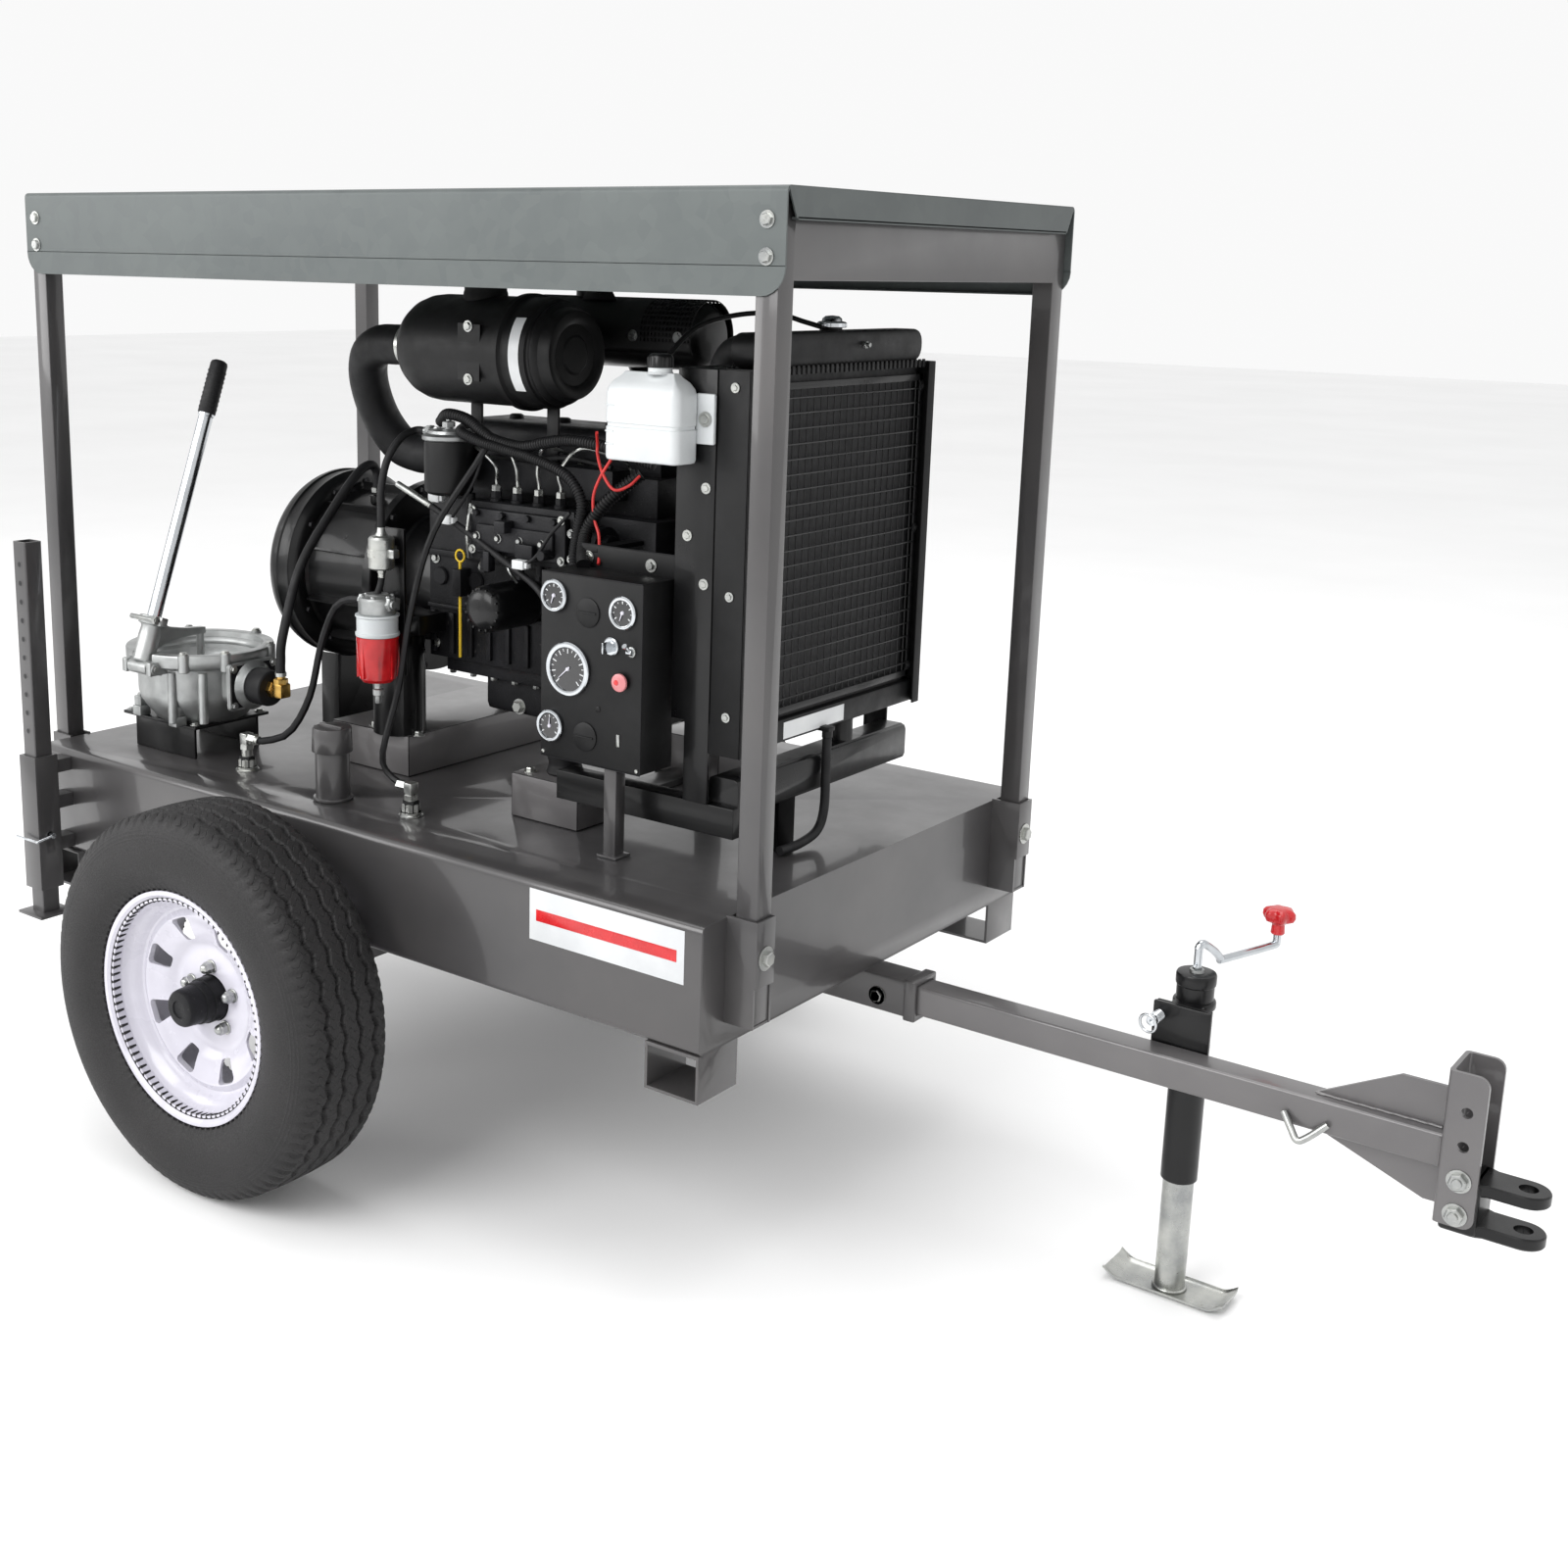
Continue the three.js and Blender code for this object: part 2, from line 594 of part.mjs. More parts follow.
{
  const y = ROOF_Y;
  const t = ROOF_T;
  const low = ROOF_Z - SKIRT_H;
  const lip = 20;
  const section = [[-y, low], [-y + lip, low], [-y + lip, low + t], [-y + t, low + t], [-y + t, ROOF_Z - t],
    [y - t, ROOF_Z - t], [y - t, low + t], [y - lip, low + t], [y - lip, low], [y, low], [y, ROOF_Z],
    [-y, ROOF_Z]];
  let body = prism('x', section, -ROOF_X, ROOF_X);
  for (const endX of [-1, 1]) {
    const x = endX > 0 ? ROOF_X - t : -ROOF_X;
    body = join(body, box(x, x + t, -y + 1, y - 1, ROOF_Z - EAVE_H, ROOF_Z - 1));
    const relief = endX > 0 ? [POST_X - 4, ROOF_X - t - 1] : [-ROOF_X + t + 1, -POST_X + 4];
    body = cut(body, box(relief[0], relief[1], -y + t + GAP / 2, y - t - GAP / 2, low - 1, low + t + 1));
  }
  piece('roof_panel', body, GALVANISED);
}

// ------------------------------------------------------------ stabiliser leg

{
  const outer = squareTubeZ(LEG_X, LEG_Y, SLEEVE, (SLEEVE - LEG) / 2 - 0.4, SLEEVE_Z, SLEEVE_TOP);
  const tabs = [SLEEVE_TOP - 40, SLEEVE_TOP - 112, TANK_Z + 12].map((z) =>
    box(LEG_X - 18, LEG_X + 18, LEG_Y + SLEEVE / 2 - 1, -TANK_W / 2 - GAP, z, z + 26));
  const pinHole = rod('x', 7, LEG_X, LEG_X + 40, [LEG_Y, LOCK_PIN_Z], 10);
  piece('stabiliser_sleeve', cut(join(outer, ...tabs), pinHole), BLACK);
}

{
  let body = squareTubeZ(LEG_X, LEG_Y, LEG, 4, LEG_FOOT_Z + 5, LEG_TOP);
  const collar = box(LEG_X - 24, LEG_X + 24, LEG_Y - 24, LEG_Y + 24, LEG_FOOT_Z + 5, SLEEVE_Z - 6);
  const foot = box(LEG_X - 38, LEG_X + 38, LEG_Y - 38, LEG_Y + 38, LEG_FOOT_Z, LEG_FOOT_Z + 6);
  body = join(body, collar, foot);
  for (const i of [0, 5, 6, 7, 8, 9, 10, 11, 12, 13, 14]) {
    body = cut(body, rod('x', 7, LEG_X - 40, LEG_X + 40, [LEG_Y, LOCK_PIN_Z + 38.1 * i], 6));
  }
  piece('stabiliser_leg', body, BLACK);
}

// The lock pin's nose stops in the sleeve wall, clear of the leg.
{
  const r = SLEEVE / 2;
  const pin = rod('x', 5.6, LEG_X + LEG / 2 + 0.8, LEG_X + r + 12, [LEG_Y, LOCK_PIN_Z], 8);
  const bail = bentRod([[LEG_X + r + 8, LEG_Y, LOCK_PIN_Z], [LEG_X + r + 8, LEG_Y - r - 10, LOCK_PIN_Z - 6],
    [LEG_X - r - 8, LEG_Y - r - 10, LOCK_PIN_Z - 6]], 2.5, 6);
  piece('stabiliser_pin', join(pin, bail), CHROME);
}

// ----------------------------------------------------------- engine mounting

{
  const riser = cut(
    box(-300, -94, -206, 206, DECK + GAP, 727),
    box(-294, -100, -200, 200, DECK - 1, 721));
  const pedestals = [-1, 1].map((side) => {
    const centre = [PEDESTAL[0], side * PEDESTAL[1]];
    const arm = sideBox(side, -110, -60, BLOCK_Y + 0.4, PEDESTAL[1] + 30, 925, 960);
    return join(rod('z', 50, 726, 960, centre, 20), arm);
  });
  const saddle = cut(
    box(-490, -440, -60, 60, DECK + GAP, CRANK_Z - 150),
    rod('x', DRUM_R + 1.5, -600, -400, [0, CRANK_Z], 48));
  const spine = box(-490, -294, -60, 60, DECK + GAP, DECK + 8);
  const plate = box(FUEL_X - 27, FUEL_X + 27, SEPARATOR_Y + 40.7, SEPARATOR_Y + 47, 860, 1128);
  const bracket = box(-110, FUEL_X - 10, SEPARATOR_Y + 44, -205, 900, 930);
  piece('rear_mount_frame', join(riser, ...pedestals, saddle, spine, plate, bracket), BLACK);
}

{
  const blocks = [-1, 1].map((side) => sideBox(side, 216, 367, 150, 263, DECK + GAP, 727));
  const tie = box(262, 320, -160, 160, DECK + GAP, DECK + 14);
  const holders = [-1, 1].map((side) => {
    const isolator = rod('z', 28, 726, 770, [290, side * 205], 12);
    const upright = sideBox(side, 265, 315, 190, 215, 765, 930);
    const arm = sideBox(side, 265, 315, BLOCK_Y + 0.4, 200, 895, 930);
    return join(isolator, upright, arm);
  });
  const rail = box(330, 700, -275, -235, 705, RAIL_TOP);
  const beam = prism('y', roundedOutline(640, 700, 735, 800, 10, 2), -262, 262);
  const leg = box(645, 690, -130, -80, DECK + GAP, 740);
  const pads = [-150, 85].map((y) => rod('z', 20, 798, RAD_Z0 - GAP, [672, y], 12));
  piece('front_mount_frame', join(...blocks, tie, ...holders, rail, beam, leg, ...pads), BLACK);
}

// ------------------------------------------------------------------- engine

{
  const block = box(BLOCK_X0, BLOCK_X1, -BLOCK_Y, BLOCK_Y, BLOCK_Z0, BLOCK_Z1);
  const crankcase = box(BLOCK_X0 + 22, BLOCK_X1 - 22, -96, 96, BLOCK_Z0 - 1, 1062);
  const bores = [0, 1, 2, 3].map((i) => rod('z', 46, 1060, BLOCK_Z1 + 1, [-8 + i * 115, 0], 16));
  const crankBore = rod('x', SHAFT_R + 1, BLOCK_X0 - 1, BLOCK_X1 + 1, [0, CRANK_Z], 16);
  const pumpBore = rod('x', 16, BLOCK_X1 - 60, BLOCK_X1 + 1, [0, FAN_Z], 16);
  const injection = box(62, 300, -200, -BLOCK_Y + 1, 1085, 1186);
  const governor = rod('x', 34, 298, 350, [-172, 1130], 16);
  const filterBoss = rod('y', 30, -150, -BLOCK_Y + 1, [150, 1008], 16);
  const stickLug = box(-16, 4, -168, -BLOCK_Y + 1, 1000, 1050);
  const stickHole = rod('z', 4, 999, 1051, [-6, -158], 10);
  const inlet = rod('x', 24, BLOCK_X1 - 1, BLOCK_X1 + 30, [110, 1100], 16);
  const solidBlock = join(block, injection, governor, filterBoss, stickLug, inlet);
  piece('engine_block', cut(solidBlock, crankcase, ...bores, crankBore, pumpBore, stickHole), CASTING);
}

{
  const head = box(BLOCK_X0 + 15, BLOCK_X1 - 25, -105, 105, BLOCK_Z1 + GAP, 1242);
  const cover = prism('x', roundedOutline(-78, 78, 1230, 1316, 22, 3), BLOCK_X0 + 30, BLOCK_X1 - 40);
  const intake = box(-20, 340, -148, -100, 1202, 1255);
  const exhaust = box(0, 340, 100, 160, 1190, 1240);
  const rearPort = rod('x', 36, -165, BLOCK_X0 + 35, [-40, 1236], 16);
  const waterPort = rod('x', 22, BLOCK_X1 - 30, BLOCK_X1 - 6, [-20, 1262], 16);
  piece('cylinder_head', join(head, cover, intake, exhaust, rearPort, waterPort), CASTING);
}

{
  const flange = box(BLOCK_X0 + 30, BLOCK_X1 - 22, -126, 126, 848, BLOCK_Z0 - GAP);
  const pan = prism('x', roundedOutline(-112, 112, 782, 862, 16, 2), 20, 345);
  const oil = box(26, 339, -104, 104, 790, BLOCK_Z0);
  piece('oil_sump', cut(join(flange, pan), oil), CASTING);
}

{
  const wall = 6;
  const end = BLOCK_X0 - GAP;
  const points = [
    [DRUM_X0, SHAFT_R + 1], [DRUM_X0, DRUM_R], [DRUM_X1, DRUM_R], [DRUM_X1, BELL_R], [-236, BELL_R],
    [-236, 188], [-212, 188], [-212, 124], [end, 124], [end, 114], [-222, 114], [-232, BELL_R - wall],
    [DRUM_X1 - wall, BELL_R - wall], [DRUM_X1 - wall, DRUM_R - wall], [DRUM_X0 + 10, DRUM_R - wall],
    [DRUM_X0 + 10, SHAFT_R + 1],
  ];
  let body = turned('x', points, [0, CRANK_Z], 24);
  for (let i = 0; i < 8; i += 1) {
    const slot = box(DRUM_X1 - wall - 2, DRUM_X1 + 2, -8, 8, 158, 178);
    body = cut(body, slot.rotate([45 * i + 22.5, 0, 0]).translate([0, 0, CRANK_Z]));
  }
  const fitting = rod('z', 14, CRANK_Z + BELL_R - 14, CRANK_Z + BELL_R + 2, [-330, -50], 12);
  piece('drive_housing', join(body, fitting), BLACK);
}

/** Pulley with one V groove on the front of the engine. */
function vPulley(r, bore, z) {
  const steps = [[12, bore], [12, r], [16, r], [22, r - 10], [26, r - 10], [32, r], [36, r], [36, bore]];
  return turned('x', steps.map(([x, radius]) => [BLOCK_X1 + x, radius]), [0, z], 16);
}

{
  const shaft = rod('x', SHAFT_R, DRUM_X0 + 4, BLOCK_X1 + 50, [0, CRANK_Z], 16);
  const rotor = rod('x', 172, DRUM_X0 + 24, DRUM_X1 - 16, [0, CRANK_Z], 20);
  const flywheel = rod('x', 108, -200, -160, [0, CRANK_Z], 16);
  const pulley = vPulley(70, 20, CRANK_Z);
  const throws = [0, 1, 2, 3].map((i) => {
    const up = i === 0 || i === 3 ? 1 : -1;
    const x = -8 + i * 115;
    return box(x - 18, x + 18, -26, 26, CRANK_Z + (up > 0 ? 20 : -60), CRANK_Z + (up > 0 ? 60 : -20));
  });
  piece('crankshaft', join(shaft, rotor, flywheel, pulley, ...throws), CHROME);
}

{
  const shaft = rod('x', 15, BLOCK_X1 - 50, 604, [0, FAN_Z], 12);
  const pulley = vPulley(60, 10, FAN_Z);
  const hubDisc = rod('x', 46, 572, 600, [0, FAN_Z], 16);
  let body = join(shaft, pulley, hubDisc);
  for (let i = 0; i < 6; i += 1) {
    const g = new THREE.BoxGeometry(3, 62, FAN_R - 36);
    g.rotateZ(rad(58));
    g.translate(0, 0, 36 + (FAN_R - 36) / 2);
    const blade = solid(g).rotate([60 * i, 0, 0]).translate([586, 0, FAN_Z]);
    body = join(body, blade);
  }
  piece('fan', body, BLACK);
}

// --------------------------------------------------------------- cooling pack

{
  const core = box(RAD_X0, RAD_X1 - 4, -RAD_Y + 18, RAD_Y - 18, RAD_Z0 + 4, RAD_TANK_Z + 2);
  const cheeks = [-1, 1].map((side) =>
    sideBox(side, RAD_X0, RAD_X1 + 12, RAD_Y - 20, RAD_Y, RAD_Z0, RAD_TANK_Z));
  const header = prism('x', roundedOutline(-RAD_Y + 26, RAD_Y - 26, RAD_TANK_Z - 20, RAD_TOP, 26, 3),
    RAD_X0 + 2, RAD_X1);
  const footer = box(RAD_X0, RAD_X1, -RAD_Y + 4, RAD_Y - 4, RAD_Z0, RAD_Z0 + 42);
  const neck = rod('z', 17, RAD_TOP - 2, RAD_TOP + 9, [674, 0], 16);
  const upperPort = rod('x', 20, RAD_X0 - 22, RAD_X0 + 4, [-110, 1474], 16);
  const lowerPort = rod('x', 20, RAD_X0 - 22, RAD_X0 + 4, [150, 862], 16);
  const drain = rod('z', 9, RAD_Z0 - 14, RAD_Z0 + 2, [RAD_X1 + 10, -20], 8);
  const drainPad = box(RAD_X1 - 8, RAD_X1 + 19, -30, -10, RAD_Z0, RAD_Z0 + 8);
  const drainHose = hose([[RAD_X1 + 10, -20, 830], [RAD_X1 + 10, -20, 770], [RAD_X1 + 12, -24, 700],
    [RAD_X1 + 12, -50, 668], [RAD_X1 + 12, -100, 659], [RAD_X1 + 8, -150, 658.5]], 8, 6, 14);
  const inside = box(RAD_X0 + 8, RAD_X1 - 8, -RAD_Y + 40, RAD_Y - 40, RAD_TANK_Z + 4, RAD_TOP - 6);
  const mouth = rod('z', 12, RAD_TOP - 20, RAD_TOP + 10, [674, 0], 12);
  const whole = join(core, ...cheeks, header, footer, neck, upperPort, lowerPort, drain, drainPad,
    drainHose);
  piece('radiator', cut(whole, inside, mouth), BLACK);
}

{
  const rows = 8;
  const z0 = RAD_Z0 + 50;
  const z1 = RAD_TANK_Z - 22;
  const front = RAD_X1 - 4 + GAP;
  const half = RAD_Y - 21;
  let body = box(front, front + 4, -half, half, z0, z1);
  const step = (z1 - z0) / rows;
  for (let i = 0; i < rows; i += 1) {
    const low = z0 + i * step + 5;
    const high = z0 + (i + 1) * step - 5;
    for (const [y0, y1] of [[-half + 12, -6], [6, half - 12]]) {
      body = cut(body, box(front - 1, front + 5, y0, y1, low, high));
    }
  }
  piece('radiator_guard', body, BLACK);
}

{
  const x0 = SHROUD_X;
  const x1 = RAD_X0 - GAP;
  const z0 = RAD_Z0 + 48;
  const z1 = RAD_TANK_Z;
  const shell = cut(
    box(x0, x1, -RAD_Y, RAD_Y, z0, z1),
    box(x0 + 3, x1 + 1, -RAD_Y + 3, RAD_Y - 3, z0 + 3, z1 - 3));
  const throat = rod('x', FAN_R + 17, x0 - 12, x0 + 10, [0, FAN_Z], 24);
  const opening = rod('x', FAN_R + 11, x0 - 14, x0 + 12, [0, FAN_Z], 24);
  const legs = [-1, 1].map((side) => sideBox(side, x0 + 27, x1, RAD_Y - 5, RAD_Y, RAIL_TOP + GAP, z0 + 2));
  piece('fan_shroud', cut(join(shell, throat, ...legs), opening), BLACK);
}

{
  const wings = prism('z', roundedOutline(674 - 28, 674 + 28, -9, 9, 7, 2), RAD_TOP + 12, RAD_TOP + 22);
  const disc = rod('z', 23, RAD_TOP + 9 + GAP, RAD_TOP + 18, [674, 0], 20);
  const skirt = cut(rod('z', 23, RAD_TOP + 3, RAD_TOP + 18, [674, 0], 20),
    rod('z', 17.5, RAD_TOP, RAD_TOP + 9 + GAP, [674, 0], 20));
  piece('radiator_cap', join(wings, disc, skirt), CHROME);
}

piece('radiator_hose_upper', hose([[627.8, -110, 1474], [582, -110, 1474], [535, -98, 1454],
  [492, -66, 1370], [472, -34, 1290], [446, -20, 1262], [424.6, -20, 1262]], 22, 10, 14), RUBBER);
piece('radiator_hose_lower', hose([[627.8, 150, 862], [570, 150, 862], [515, 142, 888],
  [502, 128, 980], [502, 114, 1064], [484, 110, 1100], [460.6, 110, 1100]], 22, 10, 14), RUBBER);

{
  const x0 = 478;
  const x1 = 622;
  const y1 = -RAD_Y - 4;
  const body = prism('y', roundedOutline(x0, x1, 1300, 1440, 16, 3), y1 - 62, y1);
  const shoulder = box(x0 + 14, x0 + 44, y1 - 50, y1 - 12, 1438, 1445);
  const neck = rod('z', 15, 1438, 1452, [x0 + 88, y1 - 31], 16);
  const tab = box(x1 - 4, x1 + 30, y1 - 6, y1 + 3.6, 1330, 1410);
  const inside = box(x0 + 6, x1 - 6, y1 - 56, y1 - 6, 1306, 1434);
  const mouth = rod('z', 11, 1430, 1453, [x0 + 88, y1 - 31], 12);
  piece('coolant_bottle', cut(join(body, shoulder, neck, tab), inside, mouth), PLASTIC);
  const capSkirt = cut(rod('z', 20, 1446, 1460, [x0 + 88, y1 - 31], 20),
    rod('z', 15.5, 1445, 1452 + GAP, [x0 + 88, y1 - 31], 16));
  const knob = rod('z', 10, 1459, 1468, [x0 + 88, y1 - 31], 12);
  piece('coolant_cap', join(capSkirt, knob), BLACK);
}

// ------------------------------------------------- air, exhaust, oil and fuel

{
  const x0 = -122;
  const x1 = 262;
  const outline = [[x0, 30], [x0 + 4, 48], [x0 + 26, 78], [x0 + 62, AIR_R], [150, AIR_R], [152, AIR_R + 6],
    [166, AIR_R + 6], [168, AIR_R], [x1 - 30, AIR_R], [x1 - 26, AIR_R - 12], [x1, AIR_R - 18], [x1, 30],
    [x1 - 6, 30], [x1 - 6, AIR_R - 24], [x0 + 62, AIR_R - 6], [x0 + 10, 30]];
  const shell = turned('x', outline, [AIR_Y, AIR_Z], 18);
  const end = rod('x', 32, x1 - 6, x1 - 1, [AIR_Y, AIR_Z], 12);
  const outlet = cut(rod('x', 38, x0 - 26, x0 + 8, [AIR_Y, AIR_Z], 16),
    rod('x', 33, x0 - 27, x0 + 9, [AIR_Y, AIR_Z], 12));
  const stack = cut(rod('z', 38, AIR_Z + AIR_R - 12, 1610, [50, AIR_Y], 16),
    rod('z', 33, AIR_Z + AIR_R - 20, 1611, [50, AIR_Y], 12));
  const feet = [10, 190].map((x) => box(x, x + 26, AIR_Y + 4, AIR_Y + 10, 1255 + GAP, AIR_Z - 84));
  piece('air_cleaner', join(shell, end, outlet, stack, ...feet), BLACK);
}

{
  const route = [[-148.6, AIR_Y, AIR_Z], [-195, AIR_Y, AIR_Z], [-250, -140, 1430], [-284, -116, 1372],
    [-286, -82, 1305], [-262, -50, 1250], [-210, -40, 1236], [-165.6, -40, 1236]];
  piece('intake_hose', hose(route, 37, 12, 18), RUBBER);
}

{
  const centre = [MUFFLER_Y, MUFFLER_Z];
  const can = turned('x', [[0, 12], [0, 48], [14, 62], [386, 62], [400, 48], [400, 12], [394, 12],
    [394, 56], [6, 56], [6, 12]], centre, 16);
  const plugs = [0, 394].map((x) => rod('x', 13, x + 1, x + 5, centre, 8));
  const riser = hose([[200, MUFFLER_Y + 40, MUFFLER_Z - 36], [200, MUFFLER_Y + 70, 1395], [200, 134, 1320],
    [200, 134, 1240 + GAP]], 24, 8, 6);
  const tail = rod('z', 22, MUFFLER_Z + 50, MUFFLER_Z + 92, [110, MUFFLER_Y + 10], 12);
  const tailBore = rod('z', 18, MUFFLER_Z + 40, MUFFLER_Z + 93, [110, MUFFLER_Y + 10], 12);
  const bracket = box(150, 190, MUFFLER_Y - 4, MUFFLER_Y + 4, MUFFLER_Z + 60, MUFFLER_Z + 86);
  piece('muffler', cut(join(can, ...plugs, riser, tail, bracket), tailBore), BLACK);
}

{
  const centre = [12, -205];
  const can = rod('z', 44, 1192, 1290, centre, 20);
  const head = rod('z', 47, 1289, 1306, centre, 20);
  const stem = rod('z', 9, 1305, 1336, centre, 8);
  const ports = rod('x', 8, -44, 68, [-205, 1300], 8);
  const arm = box(-2, 26, -170, -148 - GAP, 1210, 1300);
  piece('fuel_filter', join(can, head, stem, ports, arm), BLACK);
}

{
  const can = rod('y', 42, -270, -150 - GAP, [150, 1008], 20);
  const dome = rod('y', 36, -278, -269, [150, 1008], 20, 42);
  piece('oil_filter', join(can, dome), BLACK);
}

{
  const centre = [FUEL_X, SEPARATOR_Y];
  const bowl = rod('z', 34, 852, 938, centre, 20, 39);
  const sleeve = rod('z', 40, 937, 978, centre, 20);
  const head = rod('z', 34, 977, 1014, centre, 16);
  const ports = rod('x', 8, FUEL_X - 44, FUEL_X + 44, [SEPARATOR_Y, 998], 10);
  const drain = rod('z', 9, 812, 853, centre, 12);
  piece('water_separator', join(bowl, sleeve, head, ports, drain), ALUMINIUM);
}

{
  const y = SEPARATOR_Y + 12;
  const can = rod('z', 24, 1058, 1116, [FUEL_X, y], 16);
  const nipples = rod('z', 7, 1042, 1136, [FUEL_X, y], 10);
  const clamp = box(FUEL_X - 10, FUEL_X + 10, y + 18, SEPARATOR_Y + 40.4, 1078, 1098);
  const line = hose([[FUEL_X, y, 1134], [FUEL_X, y, 1175], [FUEL_X + 2, y + 10, 1235],
    [FUEL_X + 2, y + 50, 1290], [-64, -205, 1300], [-44.6, -205, 1300]], 7, 6, 14);
  piece('feed_pump', join(can, nipples, clamp, line), ALUMINIUM);
}

{
  const [x, y] = FILLER;
  const wall = rod('z', 31, DECK + GAP, 762, FILLER, 20);
  const flange = rod('z', 36, DECK + GAP, DECK + 6, FILLER, 20);
  const tube = cut(join(wall, flange), rod('z', 26, DECK, 763, FILLER, 16));
  piece('filler_neck', tube, PAINT);
  const cap = cut(rod('z', 37, 738, 782, FILLER, 20, 35), rod('z', 31.5, 737, 762 + GAP, FILLER, 20));
  const grip = box(x - 28, x + 28, y - 5, y + 5, 781, 786);
  piece('filler_cap', join(cap, grip), PAINT);
}

function tankElbow([x, y], height, towards) {
  const base = rod('z', 19, DECK + GAP, DECK + 8, [x, y], 12);
  const nut = rod('z', 15, DECK + 7, DECK + 28, [x, y], 6);
  const stem = rod('z', 9, DECK + 27, DECK + height, [x, y], 8);
  const arm = towards > 0
    ? rod('x', 8, x - 8, x + 20, [y, DECK + height - 9], 8)
    : rod('x', 8, x - 20, x + 8, [y, DECK + height - 9], 8);
  return join(base, nut, stem, arm);
}

// Supply line: tank elbow to the inlet of the water separator.
{
  const [x, y] = ELBOW_REAR;
  const z = DECK + 72 - 9;
  const line = hose([[x + 18, y, z], [x + 50, y + 4, z + 2], [x + 92, y + 26, z + 22],
    [x + 120, y + 52, z + 90], [x + 138, SEPARATOR_Y - 2, z + 190], [x + 176, SEPARATOR_Y, 975],
    [FUEL_X - 60, SEPARATOR_Y, 998], [FUEL_X - 44.6, SEPARATOR_Y, 998]], 7, 6, 18);
  piece('fuel_supply_line', join(tankElbow(ELBOW_REAR, 72, 1), line), RUBBER);
}

// Return line: filter head, down behind the filler and into the tank.
{
  const [x, y] = ELBOW_FRONT;
  const z = DECK + 60 - 9;
  const line = hose([[x - 18, y, z], [x - 60, y + 6, z + 12], [x - 105, y + 34, z + 24],
    [x - 122, y + 60, z + 60], [x - 112, y + 84, z + 150], [x - 92, y + 96, z + 290],
    [x - 60, y + 120, z + 430],
    [x + 12, -222, z + 560], [x + 22, -205, 1296], [x + 2, -205, 1300], [68.6, -205, 1300]], 6, 6, 26);
  piece('fuel_return_line', join(tankElbow(ELBOW_FRONT, 60, -1), line), RUBBER);
}

// ----------------------------------------------------------------- hand pump

{
  const [x, y] = PUMP;
  const channel = cut(
    box(x - 120, x + 60, y - 70, y + 90, DECK + GAP, PUMP_BASE_Z - 6),
    box(x - 121, x + 61, y - 64, y + 84, DECK - 1, PUMP_BASE_Z - 12));
  const plate = box(x - 140, x + 80, y - 84, y + 100, PUMP_BASE_Z - 6.5, PUMP_BASE_Z);
  piece('pump_base', join(channel, plate), BLACK);
}

{
  const [x, y] = PUMP;
  const z = PUMP_BASE_Z + GAP;
  const bowl = turned('z', [[z, 20], [z, 88], [760, 118], [830, 122], [838, PUMP_R], [PUMP_RING_Z, PUMP_R],
    [PUMP_RING_Z, 120], [838, 112], [806, 100], [796, 70], [796, 20]], PUMP, 20);
  const core = rod('z', 22, z, 796, PUMP, 16);
  const lugs = [-1, 1].map((side) => {
    const x0 = side > 0 ? x + 29 : x - 43;
    return box(x0, x0 + 14, LEVER_Y - 12, y - 110, LEVER_Z - 12, LEVER_Z + 14);
  });
  const notch = box(x - 28.5, x + 28.5, LEVER_Y - 10, y - 112, LEVER_Z - 18, PUMP_RING_Z + 1);
  const pivotHole = rod('x', 6.4, x - 50, x + 50, [LEVER_Y, LEVER_Z], 12);
  const neck = box(x + 60, x + 148, y - 42, y + 42, 762, 836);
  const port = box(x + 146, x + 155, y - 58, y + 58, 756, 846);
  const bosses = [30, 90, 150].map((a) =>
    rod('z', 11, 832, PUMP_RING_Z + 5, [x + PUMP_R * Math.cos(rad(a)), y + PUMP_R * Math.sin(rad(a))], 6));
  const whole = join(bowl, core, neck, port, ...bosses);
  piece('pump_body', cut(join(cut(whole, notch), ...lugs), pivotHole), ALUMINIUM);
}

{
  const x = PUMP[0];
  const along = (r, a, b, segments) => rod('z', r, LEVER_Z + a, LEVER_Z + b, [x, LEVER_Y], segments);
  const socket = join(along(21, 12, 96, 16), along(27, 84, 97, 16));
  const upright = join(socket, along(14, 90, 505, 12), along(17, 500, 606, 16));
  const leaned = turnAboutX(upright, -LEVER_LEAN, LEVER_Y, LEVER_Z);
  const barrel = rod('x', 14, x - 27, x + 27, [LEVER_Y, LEVER_Z], 16);
  const pin = rod('x', 6, x - 47, x + 47, [LEVER_Y, LEVER_Z], 12);
  const c = PUMP[1];
  const web = prism('x', [[LEVER_Y + 4, LEVER_Z + 4], [LEVER_Y + 30, LEVER_Z + 36], [c + 8, LEVER_Z + 44],
    [c + 8, LEVER_Z + 58], [c - 70, LEVER_Z + 68], [LEVER_Y + 40, LEVER_Z + 92], [LEVER_Y + 20, LEVER_Z + 60]],
    x - 8, x + 8);
  const link = rod('z', 8, LEVER_Z - 3, LEVER_Z + 48, [x, c], 12);
  piece('pump_lever', join(leaned, barrel, pin, web, link), ALUMINIUM);
}

